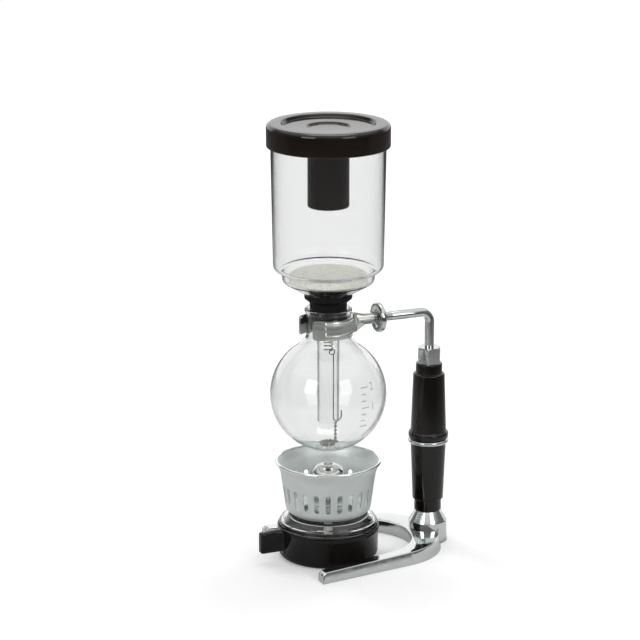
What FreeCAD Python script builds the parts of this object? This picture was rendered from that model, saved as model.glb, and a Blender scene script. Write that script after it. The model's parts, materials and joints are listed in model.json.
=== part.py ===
import FreeCAD
import Part
import math
import os

from FreeCAD import Vector

# Siphon coffee maker: a stand with grip and clamp, a glass bulb, a glass funnel with its filter and lid,
# and a spirit burner with a wind shield. Millimetres, origin on the bulb's axis at bench level, +Z up,
# +X from the bulb towards the grip. The stand is open towards -X, where the burner slides out.

# Clearances
MOVING_CLEARANCE = 0.4
RUNNING_CLEARANCE = 0.05
SEAT_GAP = 0.1
CLOSE = 1e-3

# Burner holder with its handle
HOLDER_RADIUS = 37.4
HOLDER_HEIGHT = 25.0
HOLDER_WALL = 2.4
HOLDER_FLOOR = 3.0
HOLDER_EDGE = 5.5
HOLDER_LIP_OUT = 0.7
HOLDER_LIP_HEIGHT = 3.6
HOLDER_LIP_EDGE = 0.8
HOLDER_STEP_EDGE = 0.3
HANDLE_REACH = 55.5
HANDLE_THICKNESS = 6.4
HANDLE_HEIGHT = 16.0
HANDLE_DROP = 0.8
HANDLE_EDGE = 1.6
HANDLE_ROOT = 7.0

# Spirit lamp in the holder: glass jar, collar, wick tube and wick
LAMP_WALL = 2.0
LAMP_SHOULDER_IN = 5.5
LAMP_SHOULDER_HEIGHT = 9.0
LAMP_FLANGE_HEIGHT = 2.6
LAMP_BASE_EDGE = 4.0
LAMP_SHOULDER_EDGE = 3.5
LAMP_NECK_RADIUS = 12.4
LAMP_NECK_HEIGHT = 6.0
LAMP_NECK_EDGE = 0.6
LAMP_RING_RADIUS = 0.7
LAMP_RING_COUNT = 2
COLLAR_WALL = 1.0
COLLAR_TOP = 1.2
COLLAR_EDGE = 0.6
WICK_RADIUS = 3.1
WICK_TUBE_WALL = 0.7
WICK_TUBE_RISE = 14.0
WICK_TUBE_DROP = 9.0
WICK_FLANGE_RADIUS = 7.0
WICK_FLANGE_THICKNESS = 1.0
WICK_FLANGE_EDGE = 0.4
WICK_SHOW = 2.2
WICK_BEND = 9.0
WICK_TAIL = 14.0

# Wind shield round the flame
SHIELD_HEIGHT = 41.0
SHIELD_WALL = 1.0
SHIELD_CAP_GAP = 6.1
SHIELD_FOOT_EDGE = 6.5
SHIELD_LEAN_OUT = 4.6
SHIELD_FLARE_OUT = 3.3
SHIELD_FLARE_HEIGHT = 8.5
SHIELD_FLARE_EDGE = 9.0
SHIELD_BEAD_RADIUS = 1.1
SLOT_COUNT = 24
SLOT_WIDTH = 3.8
SLOT_LENGTH = 14.9
SLOT_LOW = 7.9
SLOT_PHASE = 6.0

# Snuffer cap over the wick
CAP_OVERHANG = 0.4
CAP_HEIGHT = 29.6
CAP_WALL = 0.9
CAP_SHOULDER = 10.2
CAP_DIMPLE_RADIUS = 3.6
CAP_DIMPLE_DEPTH = 1.8
CAP_DIMPLE_EDGE = 1.2
CAP_DIMPLE_RIM_EDGE = 0.6

# Lower bulb
BULB_GAP = 8.0
BULB_RADIUS = 43.1
BULB_WALL = 2.0
BULB_SHOULDER_ANGLE = 58.5
BULB_SHOULDER_HEIGHT = 7.25
NECK_RADIUS = 16.3
NECK_LENGTH = 21.5
NECK_FILLET = 4.0
LIP_OUT = 1.2
LIP_HEIGHT = 3.4
LIP_EDGE = 1.0

# Neck clamp: two jaws whose tongues are held by a round nut on the arm's thread
BAND_HEIGHT = 14.6
BAND_WALL = 1.3
BAND_LIFT = 0.9
BAND_OPEN_ANGLE = 125.0
REAR_END_REACH = 12.0
FRONT_END_REACH = 8.3
BAND_CORNER = 2.5
JAW_BEND = 5.0
TONGUE_GAP = 0.8
TONGUE_REACH = 24.1
TONGUE_HEIGHT = 7.6
TONGUE_TAPER = 7.5
TONGUE_CORNER = 4.0
RIB_RADIUS = 1.2
RIB_SINK = 0.4
RIB_SPACING = 8.4
RIB_START_ANGLE = 30.0
RIB_END_ANGLE = 118.0
TONGUE_RIB_RADIUS = 1.5
NUT_TIP_GAP = 0.2
NUT_RADIUS = 11.2
NUT_THICKNESS = 4.0
NUT_EDGE = 1.2
NUT_RECESS = 2.0
HUB_WALL = 2.1
HUB_LENGTH = 5.0
HUB_EDGE = 0.6

# Arm and grip
ARM_OVER_BAND = 1.5
ROD_RADIUS = 3.5
ROD_BEND = 8.0
ROD_FOOT_DEPTH = 14.0
GRIP_X = 82.8
HEX_ACROSS_FLATS = 16.0
HEX_HEIGHT = 12.5
HEX_CHAMFER = 1.2
GRIP_BORE_CLEARANCE = 0.1
GRIP_LOWER_LENGTH = 53.5
GRIP_LOWER_TOP_RADIUS = 13.3
GRIP_LOWER_FOOT_RADIUS = 11.6
GRIP_FOOT_COLLAR_RADIUS = 10.2
GRIP_FOOT_COLLAR_HEIGHT = 8.6
GRIP_RING_RADIUS = 15.2
GRIP_RING_THICKNESS = 3.4
GRIP_RING_EDGE = 1.5
GRIP_UPPER_LENGTH = 58.9
GRIP_BEAD_RADIUS = 15.0
GRIP_BEAD_HEIGHT = 5.0
GRIP_BEAD_EDGE = 2.0
GRIP_UPPER_FOOT_RADIUS = 13.4
GRIP_UPPER_TOP_RADIUS = 11.8
GRIP_TOP_COLLAR_RADIUS = 9.9
GRIP_TOP_COLLAR_HEIGHT = 8.4
GRIP_EDGE = 0.9

# Base frame: an open horseshoe with splayed legs and a conical boss under the grip
FRAME_BURNER_GAP = 1.1
FRAME_BAR_WIDTH = 9.6
FRAME_PAST_GRIP = 6.1
FRAME_BEFORE_GRIP = 17.5
FRAME_OUTER_SPLAY = 8.0
FRAME_INNER_SPLAY = 10.0
FRAME_END_X = -30.0
FRAME_HEIGHT_AT_BOSS = 10.5
FRAME_HEIGHT_AT_END = 8.0
FRAME_DRAFT = 2.2
FRAME_TOP_EDGE = 0.8
FRAME_END_CHAMFER = 2.6
BOSS_HEIGHT = 24.2
BOSS_CONE_HEIGHT = 8.4
BOSS_TOP_RADIUS = 9.6
BOSS_SHOULDER_RADIUS = 14.3
BOSS_FOOT_RADIUS = 15.0
BOSS_SHOULDER_EDGE = 1.0
BOSS_TOP_EDGE = 0.6

# Rubber gasket between funnel and bulb
GASKET_FLANGE_OVER_LIP = 0.2
GASKET_FLANGE_HEIGHT = 3.4
GASKET_FLANGE_EDGE = 1.2
GASKET_FLANGE_SLOPE = 0.8
GASKET_NECK_GAP = 0.4
GASKET_WAIST_EDGE = 1.5
GASKET_TAPER = 0.9
GASKET_DEPTH = 15.5
GASKET_TIP_EDGE = 1.4
GASKET_MOUTH_WALL = 1.9

# Funnel
FUNNEL_RISE = 5.7
GLASS_WALL = 2.0
STEM_RADIUS = 8.1
STEM_WALL = 1.4
STEM_LENGTH = 92.3
STEM_FILLET = 3.0
CUP_RADIUS = 33.8
CUP_CONE_HEIGHT = 14.8
CUP_SIDE_HEIGHT = 7.7
CUP_EDGE = 4.5
CUP_FLARE = 0.7
SHELF_FILLET = 1.2
SHELF_WIDTH = 6.0
BOWL_FOOT_EDGE = 5.0
BOWL_FLARE = 1.9
BOWL_RIM_EDGE = 0.9
BOWL_HEIGHT = 107.6

# Cloth filter on its perforated disc, with its spring and pull hook
FILTER_SIDE_GAP = 2.8
FILTER_THICKNESS = 7.0
FILTER_EDGE = 2.4
CLOTH_THICKNESS = 0.8
CLOTH_MOUTH_RADIUS = 6.5
DISC_PLATE = 1.2
DISC_HOLE_RADIUS = 1.5
DISC_RING_START = 9.5
DISC_RING_PITCH = 6.0
DISC_RIM_MARGIN = 5.0
DISC_FIRST_HOLES = 8
DISC_MORE_HOLES = 6
STUD_SPRING_GAP = 0.3
STUD_HEAD_RADIUS = 6.0
STUD_HEAD_HEIGHT = 1.2
STUD_LENGTH = 13.0
STUD_TIP_EDGE = 0.8
SPRING_WIRE_RADIUS = 0.4
SPRING_PITCH = 3.0
SPRING_TURNS = 16
SPRING_ON_STUD = 4.0
EYE_RADIUS = 2.2
EYE_STEM_GAP = 0.9
HOOK_WIRE_RADIUS = 0.5
EYE_HANG = 1.0
HOOK_BEND = 3.2
HOOK_RISE = 4.0
BEAD_RADIUS = 1.2
BEAD_SPACING = 3.0
BEAD_LINK_RADIUS = 0.4
BEAD_LINK_SINK = 0.5
BEAD_STRAIGHT = 0.5
HEAP_BEADS = 17
HEAP_OUTER_RADIUS = 6.9
HEAP_INNER_RADIUS = 2.6

# Lid
LID_SKIRT_GAP = 0.6
LID_WALL = 2.2
LID_DEPTH = 17.1
LID_EDGE = 3.2
LID_RIM_WIDTH = 11.6
LID_RECESS_DEPTH = 2.4
LID_DIMPLE_OVER_TUBE = 0.8
LID_DIMPLE_DEPTH = 1.3
LID_DIMPLE_EDGE = 0.5
LID_RECESS_EDGE = 0.8
LID_RIM_EDGE = 1.2
LID_SKIRT_EDGE = 0.8
LID_INNER_EDGE = 1.0
TUBE_STEM_GAP = 5.1
TUBE_LENGTH = 57.7
TUBE_ROOT_EDGE = 1.5
TUBE_END_EDGE = 0.8

# Sizes that follow from what each piece fits on or into
LAMP_FLANGE_RADIUS = HOLDER_RADIUS - HOLDER_LIP_OUT
LAMP_SHOULDER_RADIUS = LAMP_FLANGE_RADIUS - LAMP_SHOULDER_IN
CAP_RADIUS = LAMP_NECK_RADIUS + SEAT_GAP + COLLAR_WALL + CAP_OVERHANG
SHIELD_HOLE_RADIUS = CAP_RADIUS + SHIELD_CAP_GAP
SHIELD_FOOT_RADIUS = LAMP_SHOULDER_RADIUS
SHIELD_WAIST_RADIUS = SHIELD_FOOT_RADIUS + SHIELD_LEAN_OUT
SHIELD_FLARE_RADIUS = SHIELD_WAIST_RADIUS + SHIELD_FLARE_OUT
BULB_CONE_RISE = BULB_RADIUS * math.sin(math.radians(BULB_SHOULDER_ANGLE))
NECK_RISE = BULB_CONE_RISE + BULB_SHOULDER_HEIGHT
LIP_RADIUS = NECK_RADIUS + LIP_OUT
TONGUE_TIP_X = NECK_RADIUS + TONGUE_REACH
NUT_FACE_X = TONGUE_TIP_X + NUT_TIP_GAP - NUT_RECESS
HUB_RADIUS = ROD_RADIUS + HUB_WALL
FRAME_INNER_RADIUS = HOLDER_RADIUS + HOLDER_LIP_OUT + FRAME_BURNER_GAP
FRAME_OUTER_RADIUS = FRAME_INNER_RADIUS + FRAME_BAR_WIDTH
FRAME_INNER_CENTRE_X = GRIP_X - FRAME_BEFORE_GRIP - FRAME_INNER_RADIUS
FRAME_OUTER_CENTRE_X = GRIP_X + FRAME_PAST_GRIP - FRAME_OUTER_RADIUS
GASKET_FLANGE_RADIUS = LIP_RADIUS + GASKET_FLANGE_OVER_LIP
GASKET_NECK_RADIUS = NECK_RADIUS - BULB_WALL - GASKET_NECK_GAP
GASKET_TIP_RADIUS = GASKET_NECK_RADIUS - GASKET_TAPER
GASKET_MOUTH_RADIUS = GASKET_NECK_RADIUS - GASKET_MOUTH_WALL
CUP_TOP_RADIUS = CUP_RADIUS + CUP_FLARE
BOWL_FOOT_RADIUS = CUP_TOP_RADIUS + SHELF_WIDTH
BOWL_TOP_RADIUS = BOWL_FOOT_RADIUS + BOWL_FLARE
FILTER_RADIUS = CUP_RADIUS - GLASS_WALL - FILTER_SIDE_GAP
SPRING_RADIUS = STEM_RADIUS - STEM_WALL - EYE_STEM_GAP - HOOK_WIRE_RADIUS - EYE_RADIUS
STUD_RADIUS = SPRING_RADIUS - SPRING_WIRE_RADIUS - STUD_SPRING_GAP
LID_RADIUS = BOWL_TOP_RADIUS + LID_SKIRT_GAP + LID_WALL
LID_RECESS_RADIUS = LID_RADIUS - LID_RIM_WIDTH
TUBE_RADIUS = STEM_RADIUS + TUBE_STEM_GAP + LID_WALL
LID_DIMPLE_RADIUS = TUBE_RADIUS + LID_DIMPLE_OVER_TUBE

# Heights that follow from the sizes above
LAMP_TOP_Z = HOLDER_HEIGHT + LAMP_SHOULDER_HEIGHT
SHIELD_TOP_Z = LAMP_TOP_Z + SHIELD_HEIGHT
COLLAR_TOP_Z = LAMP_TOP_Z + LAMP_NECK_HEIGHT + COLLAR_TOP
BULB_CENTRE_Z = SHIELD_TOP_Z + BULB_GAP + BULB_RADIUS
NECK_BASE_Z = BULB_CENTRE_Z + NECK_RISE
LIP_TOP_Z = NECK_BASE_Z + NECK_LENGTH
BAND_LOW_Z = NECK_BASE_Z + BAND_LIFT
BAND_MID_Z = BAND_LOW_Z + BAND_HEIGHT / 2
ARM_Z = BAND_MID_Z + ARM_OVER_BAND
STEM_TOP_Z = LIP_TOP_Z + FUNNEL_RISE
STEM_END_Z = STEM_TOP_Z - STEM_LENGTH
CUP_CONE_TOP_Z = STEM_TOP_Z + CUP_CONE_HEIGHT
SHELF_Z = CUP_CONE_TOP_Z + CUP_SIDE_HEIGHT
BOWL_TOP_Z = SHELF_Z + BOWL_HEIGHT
LID_TOP_Z = BOWL_TOP_Z + SEAT_GAP + LID_WALL
GRIP_RING_Z = BOSS_HEIGHT + GRIP_LOWER_LENGTH
GRIP_UPPER_Z = GRIP_RING_Z + GRIP_RING_THICKNESS
GRIP_TOP_Z = GRIP_UPPER_Z + GRIP_UPPER_LENGTH
CONE_SLOPE = CUP_CONE_HEIGHT / (CUP_RADIUS - STEM_RADIUS)

UP = Vector(0, 0, 1)
FULL_TURN = 360.0


def on_plane(radius, z):
    """A point of the upright plane in which turned outlines are drawn."""
    return Vector(radius, 0, z)


def corner_arcs(corners, closed):
    """The start, middle and end of the tangent arc at each (radius, z, rounding) corner."""
    points = [on_plane(radius, z) for radius, z, _ in corners]
    count = len(points)
    arcs = []
    for index, (_, _, rounding) in enumerate(corners):
        point = points[index]
        is_end = not closed and index in (0, count - 1)
        if rounding <= 0 or is_end:
            arcs.append((point, None, point))
            continue
        back = (points[index - 1] - point).normalize()
        ahead = (points[(index + 1) % count] - point).normalize()
        half_angle = back.getAngle(ahead) / 2
        setback = rounding / math.tan(half_angle)
        inward = (back + ahead).normalize()
        middle = point + inward * (rounding / math.sin(half_angle) - rounding)
        arcs.append((point + back * setback, middle, point + ahead * setback))
    return arcs


def rounded_edges(corners, closed=True):
    """Lines and tangent arcs along the corners, in order."""
    arcs = corner_arcs(corners, closed)
    edges = []
    count = len(arcs)
    for index, (start, middle, end) in enumerate(arcs):
        if middle is not None:
            edges.append(Part.Arc(start, middle, end).toShape())
        if index == count - 1 and not closed:
            break
        following = arcs[(index + 1) % count][0]
        if (following - end).Length > CLOSE:
            edges.append(Part.LineSegment(end, following).toShape())
    return edges


def turned(edges, centre_x=0.0, angle=FULL_TURN):
    """The solid that a closed outline makes when it turns about the upright axis at centre_x."""
    face = Part.Face(Part.Wire(Part.__sortEdges__(edges)))
    solid = face.revolve(Vector(0, 0, 0), UP, angle)
    solid.translate(Vector(centre_x, 0, 0))
    return solid


def turned_block(corners, centre_x=0.0):
    """A turned solid from one closed, rounded outline."""
    return turned(rounded_edges(corners), centre_x)


def inner_corners(corners, wall):
    """The corners of an open outline moved to its left by the wall's thickness."""
    points = [on_plane(radius, z) for radius, z, _ in corners]
    headings = [(after - before).normalize() for before, after in zip(points, points[1:])]
    lefts = [Vector(-heading.z, 0, heading.x) for heading in headings]
    moved = []
    for index, (_, _, rounding) in enumerate(corners):
        before = lefts[max(index - 1, 0)]
        after = lefts[min(index, len(lefts) - 1)]
        point = points[index] + (before + after) * (wall / (1 + before.dot(after)))
        turn = before.x * after.z - before.z * after.x
        inner_rounding = rounding + (wall if turn < 0 else -wall)
        moved.append((point.x, point.z, max(inner_rounding, 0) if rounding else 0))
    return moved


def turned_shell(corners, wall, centre_x=0.0):
    """A turned wall: the outline from its first to its last corner, thickened to its left."""
    outer = rounded_edges(corners, closed=False)
    inside = inner_corners(corners, wall)
    inner = rounded_edges(inside, closed=False)
    first = Part.LineSegment(on_plane(*corners[0][:2]), on_plane(*inside[0][:2])).toShape()
    last = Part.LineSegment(on_plane(*corners[-1][:2]), on_plane(*inside[-1][:2])).toShape()
    edges = outer + inner + [first]
    if (on_plane(*corners[-1][:2]) - on_plane(*inside[-1][:2])).Length > CLOSE:
        edges.append(last)
    return turned(edges, centre_x)


def cylinder(radius, low_z, high_z, x=0.0, y=0.0):
    """An upright cylinder between two heights."""
    return Part.makeCylinder(radius, high_z - low_z, Vector(x, y, low_z))


def ring_edges(shape, radius, z):
    """The full circles of a turned solid that have this radius and height."""
    found = []
    for edge in shape.Edges:
        curve = edge.Curve
        if not isinstance(curve, Part.Circle):
            continue
        if abs(curve.Radius - radius) < CLOSE and abs(curve.Center.z - z) < CLOSE:
            found.append(edge)
    return found


def swept_wire(edges, wire_radius):
    """A round wire along a path that starts where its first edge starts."""
    path = Part.Wire(edges)
    first = path.OrderedEdges[0]
    start = first.valueAt(first.FirstParameter)
    heading = first.tangentAt(first.FirstParameter)
    section = Part.Wire(Part.makeCircle(wire_radius, start, heading))
    return path.makePipeShell([section], True, False)


def base_frame():
    """Horseshoe with drafted outer walls, a top that falls towards the ends, and the grip's boss."""
    full_height = FRAME_HEIGHT_AT_BOSS + FRAME_DRAFT

    def outline(z, inset):
        outer_radius = FRAME_OUTER_RADIUS - inset
        outer_splay = math.radians(FRAME_OUTER_SPLAY)
        inner_splay = math.radians(FRAME_INNER_SPLAY)
        end_x = FRAME_END_X + inset / 2
        outer_x = FRAME_OUTER_CENTRE_X + outer_radius * math.sin(outer_splay)
        outer_y = outer_radius * math.cos(outer_splay)
        inner_x = FRAME_INNER_CENTRE_X + FRAME_INNER_RADIUS * math.sin(inner_splay)
        inner_y = FRAME_INNER_RADIUS * math.cos(inner_splay)
        outer_end_y = outer_y + (outer_x - end_x) * math.tan(outer_splay)
        inner_end_y = inner_y + (inner_x - end_x) * math.tan(inner_splay)
        points = [
            Vector(outer_x, -outer_y, z),
            Vector(FRAME_OUTER_CENTRE_X + outer_radius, 0, z),
            Vector(outer_x, outer_y, z),
            Vector(end_x, outer_end_y, z),
            Vector(end_x, inner_end_y, z),
            Vector(inner_x, inner_y, z),
            Vector(FRAME_INNER_CENTRE_X + FRAME_INNER_RADIUS, 0, z),
            Vector(inner_x, -inner_y, z),
            Vector(end_x, -inner_end_y, z),
            Vector(end_x, -outer_end_y, z),
        ]
        return Part.Wire([
            Part.Arc(points[0], points[1], points[2]).toShape(),
            Part.LineSegment(points[2], points[3]).toShape(),
            Part.LineSegment(points[3], points[4]).toShape(),
            Part.LineSegment(points[4], points[5]).toShape(),
            Part.Arc(points[5], points[6], points[7]).toShape(),
            Part.LineSegment(points[7], points[8]).toShape(),
            Part.LineSegment(points[8], points[9]).toShape(),
            Part.LineSegment(points[9], points[0]).toShape(),
        ])

    bar = Part.makeLoft([outline(0, 0), outline(full_height, FRAME_DRAFT)], True, True)
    span = FRAME_OUTER_CENTRE_X + FRAME_OUTER_RADIUS
    slope = (FRAME_HEIGHT_AT_BOSS - FRAME_HEIGHT_AT_END) / (span - FRAME_END_X)
    half_width = 2 * FRAME_OUTER_RADIUS
    chamfer_x = FRAME_END_X + FRAME_END_CHAMFER
    above = Part.makePolygon([
        Vector(FRAME_END_X - 1, -half_width, FRAME_HEIGHT_AT_END - FRAME_END_CHAMFER - slope),
        Vector(chamfer_x, -half_width, FRAME_HEIGHT_AT_END + slope * FRAME_END_CHAMFER),
        Vector(span + 1, -half_width, FRAME_HEIGHT_AT_BOSS + slope),
        Vector(span + 1, -half_width, full_height + 1),
        Vector(FRAME_END_X - 1, -half_width, full_height + 1),
        Vector(FRAME_END_X - 1, -half_width, FRAME_HEIGHT_AT_END - FRAME_END_CHAMFER - slope),
    ])
    bar = bar.cut(Part.Face(above).extrude(Vector(0, 2 * half_width, 0)))
    chamfer_foot_z = FRAME_HEIGHT_AT_END - FRAME_END_CHAMFER
    upper_edges = [edge for edge in bar.Edges if edge.BoundBox.ZMin > chamfer_foot_z]
    bar = bar.makeFillet(FRAME_TOP_EDGE, upper_edges)
    boss_shoulder_z = BOSS_HEIGHT - BOSS_CONE_HEIGHT
    boss = turned_block([
        (0, 0, 0),
        (BOSS_FOOT_RADIUS, 0, 0),
        (BOSS_SHOULDER_RADIUS, boss_shoulder_z, BOSS_SHOULDER_EDGE),
        (BOSS_TOP_RADIUS, BOSS_HEIGHT, BOSS_TOP_EDGE),
        (0, BOSS_HEIGHT, 0),
    ], GRIP_X)
    socket = cylinder(ROD_RADIUS + RUNNING_CLEARANCE, BOSS_HEIGHT - ROD_FOOT_DEPTH, BOSS_HEIGHT, GRIP_X)
    return bar.fuse(boss).cut(socket).removeSplitter()


def arm_rod():
    """Bent rod from the rear jaw's tongue, over the bend and down through the grip into the boss."""
    foot_z = BOSS_HEIGHT - ROD_FOOT_DEPTH
    bend_start = Vector(GRIP_X - ROD_BEND, 0, ARM_Z)
    bend_end = Vector(GRIP_X, 0, ARM_Z - ROD_BEND)
    diagonal = ROD_BEND * (1 - math.sqrt(0.5))
    bend_middle = Vector(GRIP_X - diagonal, 0, ARM_Z - diagonal)
    return swept_wire([
        Part.LineSegment(Vector(TONGUE_TIP_X, 0, ARM_Z), bend_start).toShape(),
        Part.Arc(bend_start, bend_middle, bend_end).toShape(),
        Part.LineSegment(bend_end, Vector(GRIP_X, 0, foot_z)).toShape(),
    ], ROD_RADIUS)


def hex_nut():
    """Tall hexagon nut that draws the grip down on the boss."""
    corner_radius = HEX_ACROSS_FLATS / math.sqrt(3)
    corners = []
    for index in range(7):
        angle = math.radians(60 * index)
        x = GRIP_X + corner_radius * math.cos(angle)
        corners.append(Vector(x, corner_radius * math.sin(angle), GRIP_TOP_Z))
    prism = Part.Face(Part.makePolygon(corners)).extrude(Vector(0, 0, HEX_HEIGHT))
    top_z = GRIP_TOP_Z + HEX_HEIGHT
    turned_top = turned_block([
        (0, GRIP_TOP_Z, 0),
        (corner_radius + HEX_CHAMFER, GRIP_TOP_Z, 0),
        (corner_radius + HEX_CHAMFER, top_z - 2 * HEX_CHAMFER, 0),
        (corner_radius - HEX_CHAMFER, top_z, 0),
        (0, top_z, 0),
    ], GRIP_X)
    bore = cylinder(ROD_RADIUS + RUNNING_CLEARANCE, GRIP_TOP_Z, top_z, GRIP_X)
    return prism.common(turned_top).cut(bore)


def grip_bored(corners):
    """A turned piece of the grip with the rod's bore through it."""
    piece = turned_block(corners, GRIP_X)
    bore = cylinder(ROD_RADIUS + GRIP_BORE_CLEARANCE, corners[0][1], corners[-1][1], GRIP_X)
    return piece.cut(bore)


def grip_lower():
    """Lower half of the grip, slimmer towards a short collar on the boss."""
    collar_z = BOSS_HEIGHT + GRIP_FOOT_COLLAR_HEIGHT
    return grip_bored([
        (0, BOSS_HEIGHT, 0),
        (GRIP_FOOT_COLLAR_RADIUS, BOSS_HEIGHT, GRIP_EDGE),
        (GRIP_FOOT_COLLAR_RADIUS, collar_z, 0),
        (GRIP_LOWER_FOOT_RADIUS, collar_z + GRIP_EDGE, GRIP_EDGE),
        (GRIP_LOWER_TOP_RADIUS, GRIP_RING_Z, GRIP_EDGE),
        (0, GRIP_RING_Z, 0),
    ])


def grip_ring():
    """Plated ring between the two halves of the grip."""
    return grip_bored([
        (0, GRIP_RING_Z, 0),
        (GRIP_RING_RADIUS, GRIP_RING_Z, GRIP_RING_EDGE),
        (GRIP_RING_RADIUS, GRIP_UPPER_Z, GRIP_RING_EDGE),
        (0, GRIP_UPPER_Z, 0),
    ])


def grip_upper():
    """Upper half of the grip: a bead above the ring, a long taper and a stepped collar."""
    bead_z = GRIP_UPPER_Z + GRIP_BEAD_HEIGHT
    collar_z = GRIP_TOP_Z - GRIP_TOP_COLLAR_HEIGHT
    return grip_bored([
        (0, GRIP_UPPER_Z, 0),
        (GRIP_BEAD_RADIUS, GRIP_UPPER_Z, GRIP_BEAD_EDGE),
        (GRIP_BEAD_RADIUS, bead_z, GRIP_BEAD_EDGE),
        (GRIP_UPPER_FOOT_RADIUS, bead_z + GRIP_EDGE, GRIP_EDGE),
        (GRIP_UPPER_TOP_RADIUS, collar_z, GRIP_EDGE),
        (GRIP_TOP_COLLAR_RADIUS, collar_z + GRIP_EDGE, 0),
        (GRIP_TOP_COLLAR_RADIUS, GRIP_TOP_Z, GRIP_EDGE),
        (0, GRIP_TOP_Z, 0),
    ])


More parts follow.
